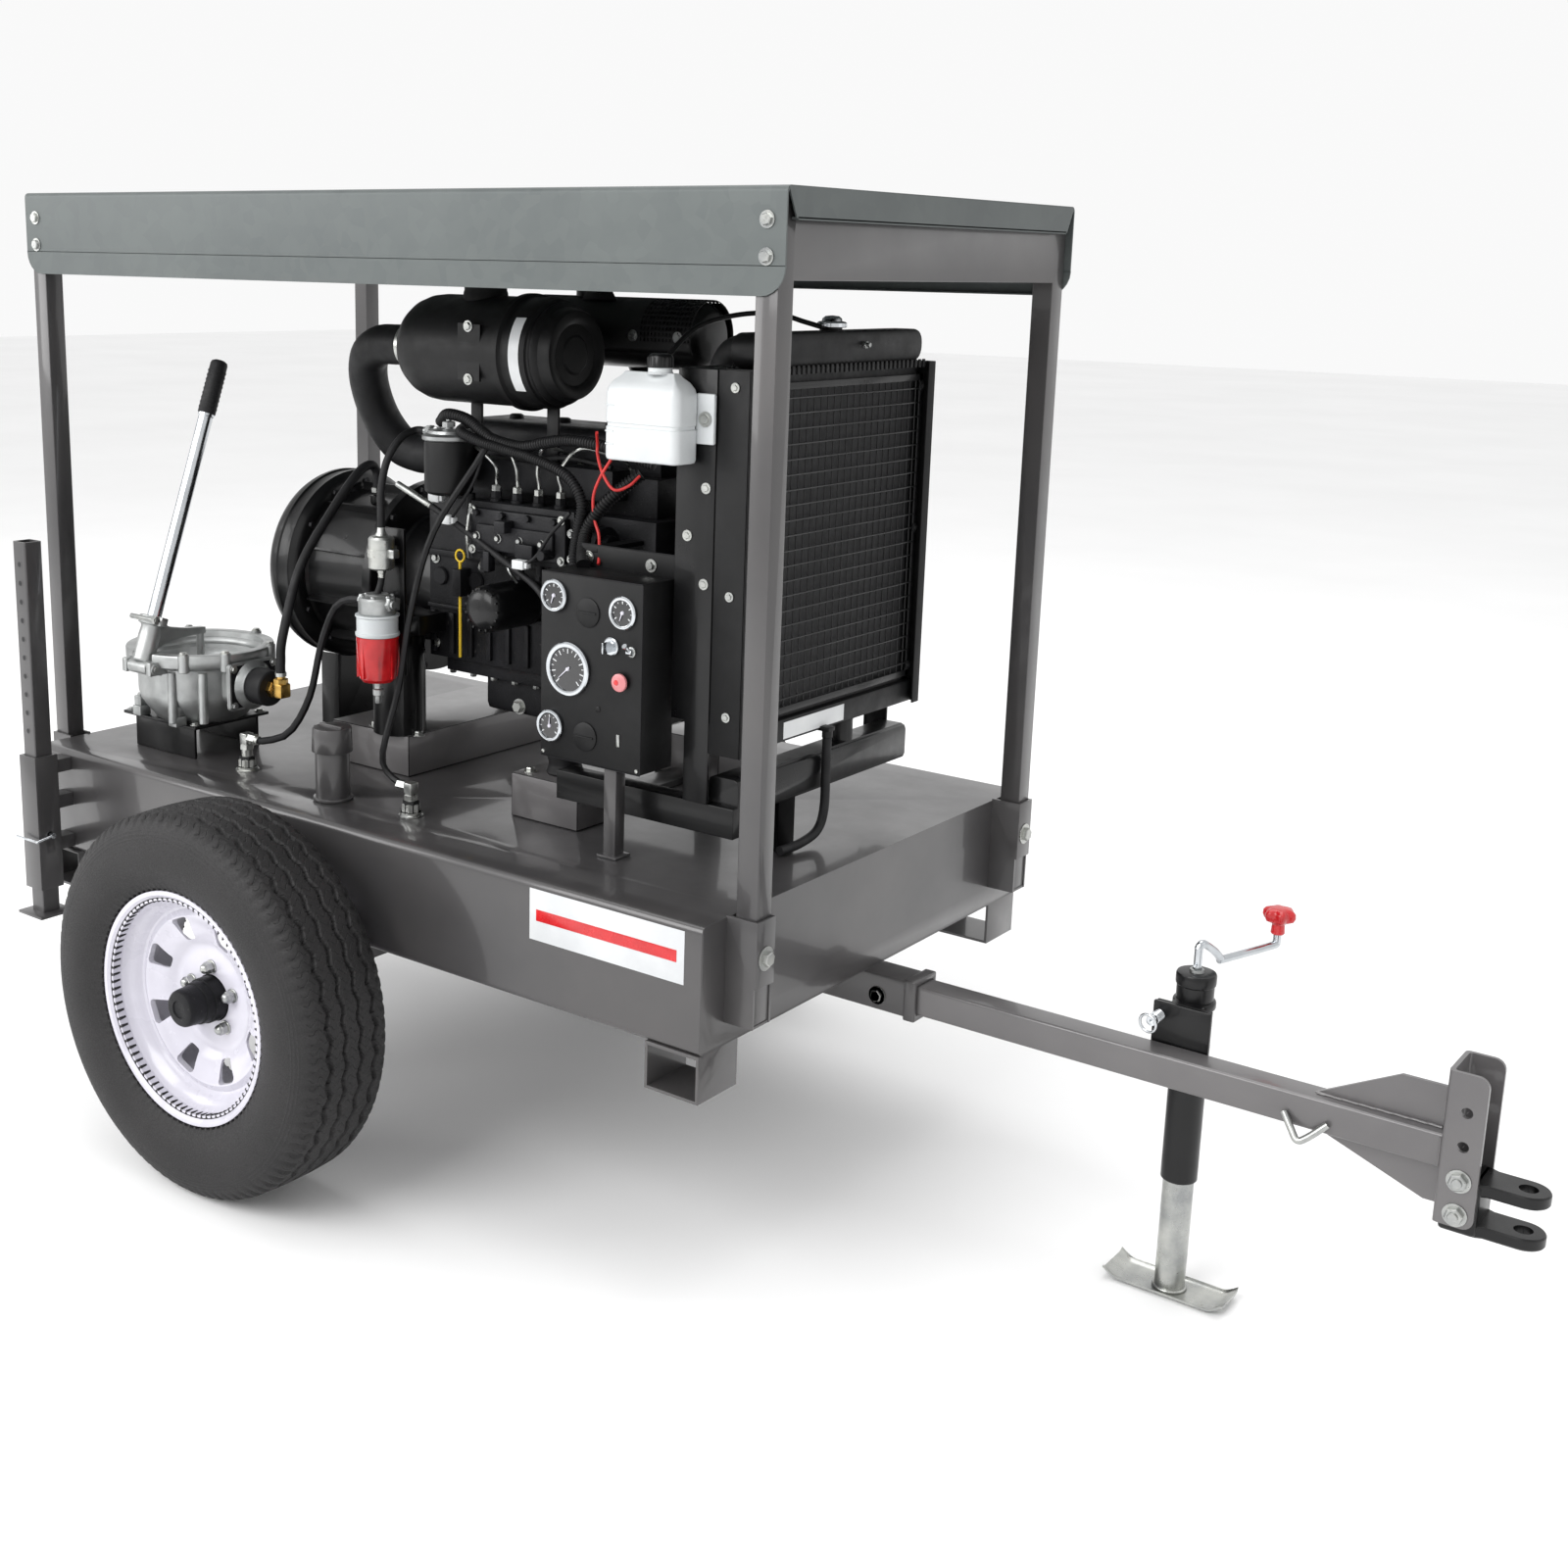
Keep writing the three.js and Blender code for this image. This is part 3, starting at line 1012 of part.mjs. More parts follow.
// Priming hose: pump outlet up to the fitting on top of the driven end.
{
  const [px, y] = PUMP;
  const x = px + 155 + GAP;
  const bush = rod('x', 35, x, x + 52, [y, 800], 16);
  const nose = rod('x', 14, x + 50, x + 80, [y, 800], 12);
  const turn = rod('z', 13, 788, 838, [x + 78, y], 12);
  const line = hose([[x + 78, y, 834], [x + 76, y + 6, 900], [x + 70, y + 62, 1030], [x + 66, y + 150, 1130],
    [-330, -105, 1190], [-330, -62, 1206], [-330, -50, 1175], [-330, -50, 1147.8]], 9, 8, 18);
  piece('priming_hose', join(bush, nose, turn, line), RUBBER);
}

// ---------------------------------------------------------------- control box

const KEY = [506, 1005];
const TOGGLE = [546, 1001];
const RESET = [528, 950];
{
  const y0 = BOX_Y;
  const y1 = BOX_Y + BOX_D;
  const shell = cut(
    box(BOX_X0, BOX_X1, y0, y1, BOX_Z0, BOX_Z1),
    box(BOX_X0 + 3, BOX_X1 - 3, y0 + 3, y1 + 1, BOX_Z0 + 3, BOX_Z1 - 3));
  const flange = box(BOX_X0 + 16, BOX_X1, y1 - 3, y1, BOX_Z1 - 1, BOX_Z1 + 38);
  const post = squareTubeZ(498, -326, 25.4, 3, DECK + GAP, BOX_Z0 + 1);
  const stays = [BOX_Z0 + 20, BOX_Z1 - 36].map((z) =>
    box(BOX_X0 + 20, BOX_X0 + 50, y1 - 4, -BLOCK_Y - GAP, z + 60, z + 68)).slice(1);
  const dials = [[385, 1073, 27], [528, 1062, 27], [416, 955, 45], [378, 854, 27]].map(([x, z, r]) =>
    rod('y', r, y0 - 7, y0 + 2, [x, z], 16));
  const holes = [KEY, TOGGLE, RESET].map((centre) => rod('y', 6.7, y0 - 2, y0 + 4, centre, 10));
  piece('control_box', cut(join(shell, flange, post, ...stays, ...dials), ...holes), BLACK);

  const keyBody = rod('y', 10, y0 - 9, y0 - GAP, KEY, 16);
  const keyStem = rod('y', 6, y0 - 1, y0 + 14, KEY, 12);
  const keyBlade = box(KEY[0] - 2, KEY[0] + 2, y0 - 26, y0 - 8, KEY[1] - 9, KEY[1] + 9);
  piece('key_switch', join(keyBody, keyStem, keyBlade), CHROME);

  const bat = rod('z', 3, TOGGLE[1], TOGGLE[1] + 20, [TOGGLE[0], y0 - 5], 8, 4.5);
  const ball = rod('x', 5, TOGGLE[0] - 5, TOGGLE[0] + 5, [y0 - 5.5, TOGGLE[1]], 10);
  const toggleStem = rod('y', 4, y0 - 6, y0 + 3, TOGGLE, 8);
  piece('toggle_switch', join(turnAboutX(bat, 50, y0 - 5, TOGGLE[1]), ball, toggleStem), CHROME);

  const button = rod('y', 15, y0 - 12, y0 - 7, RESET, 20, 15);
  const buttonStem = rod('y', 5.8, y0 - 8, y0 + 12, RESET, 12);
  piece('reset_button', join(button, buttonStem), RED);
}

{
  const ring = new THREE.TorusGeometry(11, 2.2, 5, 12);
  ring.rotateX(Math.PI / 2);
  ring.translate(-6, -158, 1074);
  const stick = rod('z', 3, 885, 1064, [-6, -158], 8);
  piece('dipstick', join(solid(ring), stick), ['#e2c21c', 0.5, 0.0]);
}

// --------------------------------------------------- centre the object on X

group.position.x = -(CLEVIS_X + EAR_R - ROOF_X) / 2;
group.updateMatrixWorld(true);

export default group;
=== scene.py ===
"""Looks for the towable diesel generator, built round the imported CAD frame.

Lengths in the helpers are millimetres measured from the middle of the tank, with the ground at
Z = 0. They become metres in the row frame when a piece is made.
"""

import json
import math

import bmesh
import bpy
from mathutils import Matrix, Vector

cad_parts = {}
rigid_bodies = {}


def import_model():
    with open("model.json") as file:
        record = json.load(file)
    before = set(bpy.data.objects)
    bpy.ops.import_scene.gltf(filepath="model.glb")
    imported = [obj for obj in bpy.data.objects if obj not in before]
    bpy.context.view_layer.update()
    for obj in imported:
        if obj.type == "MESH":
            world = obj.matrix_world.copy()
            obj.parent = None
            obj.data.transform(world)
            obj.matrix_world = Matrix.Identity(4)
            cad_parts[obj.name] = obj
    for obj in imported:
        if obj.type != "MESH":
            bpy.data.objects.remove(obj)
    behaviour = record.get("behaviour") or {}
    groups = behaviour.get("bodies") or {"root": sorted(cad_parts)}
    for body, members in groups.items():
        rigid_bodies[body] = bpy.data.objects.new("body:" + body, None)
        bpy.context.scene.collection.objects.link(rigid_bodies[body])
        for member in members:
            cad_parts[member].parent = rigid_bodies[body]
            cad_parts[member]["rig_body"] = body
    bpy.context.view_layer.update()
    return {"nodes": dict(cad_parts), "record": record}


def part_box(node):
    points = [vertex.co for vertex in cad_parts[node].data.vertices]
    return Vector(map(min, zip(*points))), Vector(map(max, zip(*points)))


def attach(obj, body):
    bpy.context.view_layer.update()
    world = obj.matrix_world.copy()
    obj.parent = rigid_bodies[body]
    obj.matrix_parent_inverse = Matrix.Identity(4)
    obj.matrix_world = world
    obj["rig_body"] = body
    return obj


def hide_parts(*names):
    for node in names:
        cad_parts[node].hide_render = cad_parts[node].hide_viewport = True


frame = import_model()
tank_low, tank_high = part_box("base_tank")
MID_X = 1000 * (tank_low.x + tank_high.x) / 2
SCENE = bpy.context.scene
BODY_OF = {n: o["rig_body"] for n, o in frame["nodes"].items()}
SLOT_OF = {s["node"]: s["material_slot"] for s in frame["record"]["subparts"]}

# ------------------------------------------------------------------ materials


class Nodes:
    """Small wrapper for building a node tree."""

    def __init__(self, name):
        self.material = bpy.data.materials.new(name)
        self.material.use_nodes = True
        self.tree = self.material.node_tree
        self.shader = self.tree.nodes["Principled BSDF"]
        self.coords = self.tree.nodes.new("ShaderNodeTexCoord").outputs["Object"]

    def link(self, a, b):
        self.tree.links.new(a, b)

    def put(self, socket, value):
        if isinstance(value, bpy.types.NodeSocket):
            self.link(value, socket)
        else:
            socket.default_value = value

    def scaled(self, scale):
        mapping = self.tree.nodes.new("ShaderNodeMapping")
        mapping.inputs["Scale"].default_value = scale
        self.link(self.coords, mapping.inputs["Vector"])
        return mapping.outputs["Vector"]

    def noise(self, scale, detail=3.0, rough=0.55, stretch=(1, 1, 1)):
        node = self.tree.nodes.new("ShaderNodeTexNoise")
        node.inputs["Scale"].default_value = scale
        node.inputs["Detail"].default_value = detail
        node.inputs["Roughness"].default_value = rough
        self.link(self.scaled(stretch), node.inputs["Vector"])
        return node.outputs["Fac"]

    def cells(self, scale, feature="F1", output="Distance"):
        node = self.tree.nodes.new("ShaderNodeTexVoronoi")
        node.feature = feature
        node.inputs["Scale"].default_value = scale
        self.link(self.coords, node.inputs["Vector"])
        return node.outputs[output]

    def ramp(self, value, a, b, low=0.0, high=1.0):
        node = self.tree.nodes.new("ShaderNodeMapRange")
        self.put(node.inputs["Value"], value)
        for key, number in (("From Min", a), ("From Max", b), ("To Min", low), ("To Max", high)):
            node.inputs[key].default_value = number
        return node.outputs["Result"]

    def math(self, kind, a, b=0.0, c=0.0):
        node = self.tree.nodes.new("ShaderNodeMath")
        node.operation = kind
        for socket, value in zip(node.inputs, (a, b, c)):
            self.put(socket, value)
        return node.outputs["Value"]

    def mix(self, factor, a, b):
        node = self.tree.nodes.new("ShaderNodeMix")
        node.data_type = "RGBA"
        self.put(node.inputs["Factor"], factor)
        self.put(node.inputs[6], a)
        self.put(node.inputs[7], b)
        return node.outputs[2]

    def bump(self, height, strength, distance, normal=None):
        node = self.tree.nodes.new("ShaderNodeBump")
        node.inputs["Strength"].default_value = strength
        node.inputs["Distance"].default_value = distance
        self.link(height, node.inputs["Height"])
        if normal is not None:
            self.link(normal, node.inputs["Normal"])
        return node.outputs["Normal"]

    def xyz(self):
        node = self.tree.nodes.new("ShaderNodeSeparateXYZ")
        self.link(self.coords, node.inputs["Vector"])
        return node.outputs


def srgb(r, g, b):
    """Linear colour of an 8 bit sRGB one."""
    return tuple(((c / 255 + 0.055) / 1.055) ** 2.4 if c > 10 else c / 255 / 12.92 for c in (r, g,
                                                                                             b)) + (1.0,)


def surface(name, dark, light, rough=(0.3, 0.5), metal=0.0, coat=0.0, grain=(180.0, 0.1, 0.0006),
            blotch=4.0, stretch=(1, 1, 1), specks=None):
    """General finish: cloudy colour, uneven gloss and a fine relief."""
    n = Nodes(name)
    cloud = n.ramp(n.noise(blotch, 5.0, 0.6, stretch), 0.35, 0.68)
    fine = n.noise(grain[0], 3.0, 0.6, stretch)
    colour = n.mix(cloud, dark, light)
    if specks:
        hit = n.ramp(n.noise(specks[0], 2.0, 0.7), specks[1], specks[1] + 0.03)
        colour = n.mix(n.math("MULTIPLY", hit, specks[3]), colour, specks[2])
    n.put(n.shader.inputs["Base Color"], colour)
    smudge = n.noise(blotch * 3.1, 4.0, 0.65, stretch)
    n.put(n.shader.inputs["Roughness"], n.ramp(smudge, 0.3, 0.72, rough[0], rough[1]))
    n.put(n.shader.inputs["Metallic"], metal)
    if coat:
        n.shader.inputs["Coat Weight"].default_value = coat
        n.shader.inputs["Coat Roughness"].default_value = 0.07
    n.link(n.bump(fine, grain[1], grain[2]), n.shader.inputs["Normal"])
    return n.material


def galvanised_sheet():
    """Smooth zinc-coated sheet with a faint spangle."""
    n = Nodes("galvanised_sheet")
    tone = n.tree.nodes.new("ShaderNodeSeparateColor")
    n.link(n.cells(42.0, output="Color"), tone.inputs["Color"])
    soft = n.noise(3.0, 5.0, 0.6)
    value = n.math("ADD", n.math("MULTIPLY", tone.outputs[0], 0.14), n.math("MULTIPLY", soft, 0.86))
    colour = n.mix(n.ramp(value, 0.3, 0.72), srgb(78, 83, 83), srgb(94, 99, 98))
    n.put(n.shader.inputs["Base Color"], colour)
    n.put(n.shader.inputs["Metallic"], 0.3)
    n.put(n.shader.inputs["Roughness"], n.ramp(value, 0.25, 0.75, 0.42, 0.55))
    n.link(n.bump(n.noise(60.0, 3.0), 0.1, 0.0005), n.shader.inputs["Normal"])
    return n.material


def tyre_rubber(centre):
    """Tyre rubber with thin cuts across the tread ribs and faint rings on the sidewall."""
    n = Nodes("tyre_rubber" + ("_near" if centre.y < 0 else "_far"))
    x, y, z = n.xyz()
    dx = n.math("SUBTRACT", x, centre.x)
    dz = n.math("SUBTRACT", z, centre.z)
    across = n.math("SUBTRACT", y, centre.y)
    radius = n.math("SQRT", n.math("ADD", n.math("MULTIPLY", dx, dx), n.math("MULTIPLY", dz, dz)))
    turn = n.math("MULTIPLY", n.math("ARCTAN2", dz, dx), 132 / math.tau)
    wavy = n.math("MULTIPLY", n.math("SINE", n.math("MULTIPLY", across, 300.0)), 0.28)
    tooth = n.math("PINGPONG", n.math("ADD", turn, wavy), 0.5)
    on_tread = n.ramp(radius, 0.330, 0.333)
    sipe = n.math("MULTIPLY", n.ramp(tooth, 0.1, 0.04), on_tread)
    rings = n.math("SINE", n.math("MULTIPLY", radius, 900.0))
    on_wall = n.math("MULTIPLY", n.ramp(radius, 0.300, 0.302), n.ramp(radius, 0.318, 0.316))
    ribs = n.math("MULTIPLY", n.ramp(rings, -0.3, 0.5), on_wall)
    grain = n.noise(420.0, 3.0)
    height = n.math("ADD", n.math("MULTIPLY", sipe, -1.0), n.math("MULTIPLY", ribs, 0.25))
    height = n.math("ADD", height, n.math("MULTIPLY", grain, 0.12))
    dust = n.ramp(n.noise(7.0, 5.0, 0.65), 0.35, 0.7)
    colour = n.mix(dust, srgb(15, 14, 15), srgb(28, 26, 27))
    # the sipe cuts are painted darker: painted shade in the cuts
    colour = n.mix(n.math("MULTIPLY", sipe, 0.7), colour, srgb(10, 10, 11))
    n.put(n.shader.inputs["Base Color"], colour)
    n.put(n.shader.inputs["Roughness"], n.ramp(grain, 0.3, 0.7, 0.55, 0.78))
    n.link(n.bump(height, 0.8, 0.002), n.shader.inputs["Normal"])
    return n.material


def ribbed(name, dark, light, axis, pitch, rough=(0.4, 0.6), metal=0.0):
    """Finish with close parallel ribs along one axis, such as the fins of a core."""
    n = Nodes(name)
    s = n.xyz()[axis]
    wave = n.math("PINGPONG", n.math("MULTIPLY", s, 1.0 / pitch), 0.5)
    # darker in the low grooves between the ribs: painted shade between the fins
    n.put(n.shader.inputs["Base Color"], n.mix(n.ramp(wave, 0.1, 0.4), dark, light))
    n.put(n.shader.inputs["Metallic"], metal)
    n.put(n.shader.inputs["Roughness"], n.ramp(n.noise(40.0), 0.3, 0.7, rough[0], rough[1]))
    n.link(n.bump(wave, 0.6, 0.0015), n.shader.inputs["Normal"])
    return n.material


def clear_bowl():
    n = Nodes("red_bowl")
    n.put(n.shader.inputs["Base Color"],
          n.mix(n.ramp(n.noise(30.0), 0.3, 0.7), srgb(188, 16, 26), srgb(226, 40, 44)))
    n.put(n.shader.inputs["Roughness"], n.ramp(n.noise(60.0), 0.3, 0.7, 0.08, 0.2))
    n.shader.inputs["Transmission Weight"].default_value = 0.35
    n.link(n.bump(n.noise(200.0), 0.05, 0.0005), n.shader.inputs["Normal"])
    return n.material


def adjusted(material, socket, value):
    material.node_tree.nodes["Principled BSDF"].inputs[socket].default_value = value


PAINT = surface("grey_paint", srgb(66, 65, 66), srgb(77, 75, 75), (0.28, 0.42), 0.3, 0.45,
                (1500.0, 0.05, 0.0003), 2.2,
                specks=(260.0, 0.74, srgb(112, 110, 108), 0.2))
BLACK = surface("black_paint", srgb(7, 7, 8), srgb(14, 14, 15), (0.26, 0.42), 0.0, 0.15,
                (420.0, 0.12, 0.0005), 6.0,
                specks=(300.0, 0.76, srgb(40, 40, 42), 0.25))
SATIN = surface("satin_black", srgb(8, 8, 9), srgb(16, 16, 17), (0.4, 0.58), 0.0, 0.0, (800.0, 0.2, 0.0004),
                8.0)
CAST = surface("cast_iron", srgb(13, 13, 15), srgb(30, 30, 33), (0.38, 0.6), 0.25, 0.0,
               (330.0, 0.45, 0.0012), 9.0,
               specks=(140.0, 0.7, srgb(96, 94, 90), 0.35))
RUBBER = surface("hose_rubber", srgb(12, 12, 13), srgb(24, 24, 26), (0.45, 0.66), 0.0, 0.0,
                 (600.0, 0.25, 0.0005), 12.0)
CHROME = surface("bright_plate", srgb(178, 182, 186), srgb(214, 217, 220), (0.1, 0.24), 1.0, 0.0,
                 (900.0, 0.05, 0.0003), 7.0)
ZINC = surface("zinc_plate", srgb(150, 152, 152), srgb(196, 197, 192), (0.22, 0.42), 0.95, 0.0,
               (500.0, 0.12, 0.0004), 14.0,
               specks=(90.0, 0.68, srgb(120, 112, 96), 0.35))
ALU = surface("cast_aluminium", srgb(148, 150, 150), srgb(186, 188, 187), (0.3, 0.5), 0.9, 0.0,
              (380.0, 0.3, 0.0008), 10.0)
BRASS = surface("brass", srgb(166, 128, 62), srgb(206, 170, 98), (0.22, 0.4), 1.0, 0.0,
                (600.0, 0.1, 0.0003), 16.0)
WHITE = surface("white_paint", srgb(186, 184, 194), srgb(206, 204, 214), (0.2, 0.34), 0.0, 0.4,
                (500.0, 0.06, 0.0003), 3.0,
                specks=(120.0, 0.74, srgb(160, 158, 152), 0.3))
RED = surface("red_plastic", srgb(176, 20, 26), srgb(208, 34, 38), (0.2, 0.34), 0.0, 0.3,
              (500.0, 0.06, 0.0003), 12.0)
WIRE_RED = surface("red_wire", srgb(170, 30, 30), srgb(200, 48, 44), (0.4, 0.55), 0.0, 0.0,
                   (900.0, 0.08, 0.0003), 30.0)
BOTTLE = surface("milky_plastic", srgb(186, 190, 192), srgb(206, 209, 210), (0.28, 0.42), 0.0, 0.0,
                 (220.0, 0.08, 0.0006), 5.0)
adjusted(BOTTLE, "Subsurface Weight", 0.25)
adjusted(BOTTLE, "Subsurface Radius", (0.01, 0.01, 0.01))
YELLOW = surface("yellow_plastic", srgb(206, 170, 24), srgb(232, 196, 44), (0.35, 0.5), 0.0, 0.0,
                 (500.0, 0.1, 0.0004), 15.0)
LABEL = surface("plain_label", srgb(196, 198, 200), srgb(214, 216, 216), (0.3, 0.46), 0.0, 0.15,
                (260.0, 0.06, 0.0002), 7.0)
DIAL = surface("dial_face", srgb(12, 12, 14), srgb(24, 24, 27), (0.12, 0.22), 0.0, 0.6,
               (300.0, 0.04, 0.0002), 18.0)
PINK = surface("lamp_ring", srgb(186, 108, 112), srgb(206, 134, 136), (0.25, 0.4), 0.0, 0.2,
               (400.0, 0.08, 0.0003), 20.0)
GALV = galvanised_sheet()
# lighter copy of the grey paint: painted light, the stronger light on the tongue put into its colour; the
# welds, hitch channel and mount channels use it too
LIT_GREY_PAINT = surface("grey_paint_lit_copy", srgb(94, 92, 93), srgb(108, 106, 106), (0.28, 0.42), 0.35, 0.45,
                    (1500.0, 0.05, 0.0003),
                    2.2, specks=(260.0, 0.74, srgb(136, 134, 132), 0.2))
for dark_material in (BLACK, SATIN, RUBBER, CAST):
    adjusted(dark_material, "Specular IOR Level", 0.3)
RED_BOWL = clear_bowl()
CORE = ribbed("radiator_core", srgb(6, 6, 7), srgb(26, 26, 28), 1, 0.0036, metal=0.2)
FLOOR_MAT = surface("studio_floor", srgb(243, 243, 243), srgb(247, 247, 247), (0.6, 0.75), 0.0, 0.0,
                    (40.0, 0.02, 0.0003), 0.6)

SLOT_MATERIAL = {
    "paint": PAINT, "galvanised": GALV, "black_paint": BLACK, "casting": CAST, "rubber": RUBBER,
                 "chrome": CHROME,
    "steel": ZINC, "aluminium": ALU, "white_paint": WHITE, "red_plastic": RED, "white_plastic": BOTTLE,
    "black_plastic": SATIN, "yellow_plastic": YELLOW, "tyre": RUBBER, "radiator_black": SATIN,
}

# -------------------------------------------------------------- mesh building


def rad(degrees):
    return math.radians(degrees)


def place(axis, s, u, v):
    """Point from its coordinate along an axis and the other two in X, Y, Z order."""
    if axis == "x":
        return (s, u, v)
    if axis == "y":
        return (u, s, v)
    return (u, v, s)


SHARP = 32  # degrees between faces from which an edge stays hard
MERGE_MM, MERGE_M = 0.002, 2e-5  # corners closer than this are joined
EASE_ANGLE, EASE_LENGTH = 36, 0.004  # CAD edges sharper and longer than this are eased


class Shape:
    """Collects forms, in millimetres, into one mesh."""

    def __init__(self):
        self.bm = bmesh.new()

    def grid(self, rings, closed_u=True, cap=False):
        """Skin over rows of points; each row is closed if closed_u."""
        rows = [[self.bm.verts.new(p) for p in ring] for ring in rings]
        count = len(rows[0])
        for a, b in zip(rows, rows[1:]):
            for i in range(count if closed_u else count - 1):
                j = (i + 1) % count
                self.bm.faces.new((a[i], a[j], b[j], b[i]))
        if cap:
            self.bm.faces.new(list(reversed(rows[0])))
            self.bm.faces.new(rows[-1])
        return rows

    def box(self, x0, x1, y0, y1, z0, z1, bevel=0.0, steps=2):
        made = bmesh.ops.create_cube(self.bm, size=1.0)["verts"]
        for v in made:
            v.co = Vector(((x0 + x1) / 2 + v.co.x * (x1 - x0), (y0 + y1) / 2 + v.co.y * (y1 - y0),
                           (z0 + z1) / 2 + v.co.z * (z1 - z0)))
        if bevel:
            edges = list({e for v in made for e in v.link_edges})
            bmesh.ops.bevel(self.bm, geom=edges, offset=bevel, segments=steps, profile=0.5, affect="EDGES")
        return self

    def lathe(self, axis, profile, centre, seg=64, closed=True):
        """Turn a list of (position, radius) about an axis."""
        rings = []
        for s, r in profile:
            ring = [place(axis, s, centre[0] + r * math.cos(math.tau * i / seg),
                          centre[1] + r * math.sin(math.tau * i / seg)) for i in range(seg)]
            rings.append(ring)
        if closed:
            rings.append(rings[0])
        self.grid(rings)
        return self

    def rod(self, axis, r, a, b, centre, seg=40, r_end=None, ease=0.0):
        """Round bar with lightly broken ends."""
        r_end = r if r_end is None else r_end
        ease = ease or min(r * 0.12, abs(b - a) * 0.2, 1.5)
        profile = [(a, r - ease), (a + ease, r), (b - ease, r_end), (b, r_end - ease)]
        rings = [[place(axis, s, centre[0] + q * math.cos(math.tau * i / seg),
                        centre[1] + q * math.sin(math.tau * i / seg)) for i in range(seg)] for s,
                 q in profile]
        self.grid(rings, cap=True)
        return self

    def hexagon(self, axis, r, a, b, centre, turn=0.0, washer=0.0):
        """Hexagon head or nut between a and b, with a washer at a if asked."""
        edge = min(1.5, abs(b - a) * 0.25) * (1 if b > a else -1)
        rings = []
        for s, q in ((a, r), (b - edge, r), (b, r * 0.86)):
            rings.append([place(axis, s, centre[0] + q * math.cos(rad(60 * i + turn)),
                                centre[1] + q * math.sin(rad(60 * i + turn))) for i in range(6)])
        self.grid(rings, cap=True)
        if washer:
            thick = 2.0 if b > a else -2.0
            self.rod(axis, washer, min(a, a + thick), max(a, a + thick), centre, 24, ease=0.3)
        return self

    def prism(self, axis, outline, a, b):
        """Flat outline carried from a to b along an axis; outline points in X, Y, Z order."""
        self.grid([[place(axis, s, u, v) for u, v in outline] for s in (a, b)], cap=True)
        return self

    def tube(self, points, r, seg=14, per=8, ribs=None, smooth=True):
        """Round tube through points; ribs = (pitch, height) makes it corrugated."""
        path = spline(points, per) if smooth else [Vector(p) for p in points]
        if ribs:
            path = respaced(path, ribs[0] / 4)
        up = Vector((0, 0, 1))
        first = (path[1] - path[0]).normalized()
        side = first.cross(up)
        side = side.normalized() if side.length > 1e-3 else Vector((1, 0, 0))
        rings = []
        for i, p in enumerate(path):
            ahead = (path[min(i + 1, len(path) - 1)] - path[max(i - 1, 0)]).normalized()
            side = (side - ahead * side.dot(ahead)).normalized()
            other = ahead.cross(side)
            q = r
            if ribs:
                q = r - (ribs[1] if i % 4 in (2, 3) else 0.0)
            rings.append([p + (side * math.cos(math.tau * k / seg) + other * math.sin(math.tau * k / seg)) * q
                          for k in range(seg)])
        self.grid(rings, cap=True)
        return self

    def torus(self, centre, normal, r_major, r_minor, seg=40, sub=12):
        """Ring with its axis along normal."""
        n = Vector(normal).normalized()
        a = n.cross(Vector((0, 0, 1))) if abs(n.z) < 0.9 else n.cross(Vector((1, 0, 0)))
        a.normalize()
        b = n.cross(a)
        rings = []
        for i in range(seg + 1):
            t = math.tau * (i % seg) / seg
            out = a * math.cos(t) + b * math.sin(t)
            rings.append([Vector(centre) + out * (r_major + r_minor * math.cos(math.tau * k / sub))
                          + n * r_minor * math.sin(math.tau * k / sub) for k in range(sub)])
        self.grid(rings)
        return self

    def turned_about(self, start, matrix):
        """Moves everything added since vertex number start."""
        self.bm.verts.ensure_lookup_table()
        for v in self.bm.verts[start:]:
            v.co = matrix @ v.co
        return self

    def count(self):
        return len(self.bm.verts)


def spline(points, per=8):
    """Catmull-Rom points through the given ones."""
    p = [Vector(q) for q in points]
    p = [p[0] * 2 - p[1], *p, p[-1] * 2 - p[-2]]
    out = []
    for i in range(1, len(p) - 2):
        for k in range(per):
            t = k / per
            a, b, c, d = p[i - 1], p[i], p[i + 1], p[i + 2]
            out.append(0.5 * ((2 * b) + (c - a) * t + (2 * a - 5 * b + 4 * c - d) * t * t
                              + (3 * b - a - 3 * c + d) * t ** 3))
    out.append(p[-2])
    return out


def respaced(path, step):
    """The same path with points at even steps."""
    out = [path[0]]
    left = step
    for a, b in zip(path, path[1:]):
        length = (b - a).length
        while length > left:
            a = a + (b - a).normalized() * left
            length -= left
            out.append(a)
            left = step
        left -= length
    out.append(path[-1])
    return out


def to_rows(bm):
    """Millimetres from the tank's middle to metres in the row frame."""
    bm.transform(Matrix.Diagonal((0.001, 0.001, 0.001, 1)) @ Matrix.Translation((MID_X, 0, 0)))


def mesh_of(name, bm):
    """New mesh from a bmesh, which is then freed."""
    mesh = bpy.data.meshes.new(name)
    bm.to_mesh(mesh)
    bm.free()
    return mesh


def piece(name, shape, material, body="chassis", stands_for=(), sharp=SHARP):
    """Turns a shape into an object that rides on a body."""
    bm = shape.bm
    bmesh.ops.remove_doubles(bm, verts=bm.verts, dist=MERGE_MM)
    bmesh.ops.recalc_face_normals(bm, faces=bm.faces)
    to_rows(bm)
    return shown(name, mesh_of(name, bm), material, body, stands_for, sharp)


def shown(name, mesh, material, body, stands_for=(), sharp=SHARP):
    mesh.shade_smooth()
    mesh.set_sharp_from_angle(angle=rad(sharp))
    mesh.materials.clear()
    mesh.materials.append(material)
    obj = bpy.data.objects.new(name, mesh)
    SCENE.collection.objects.link(obj)
    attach(obj, body)
    if stands_for:
        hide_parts(*stands_for)
    return obj


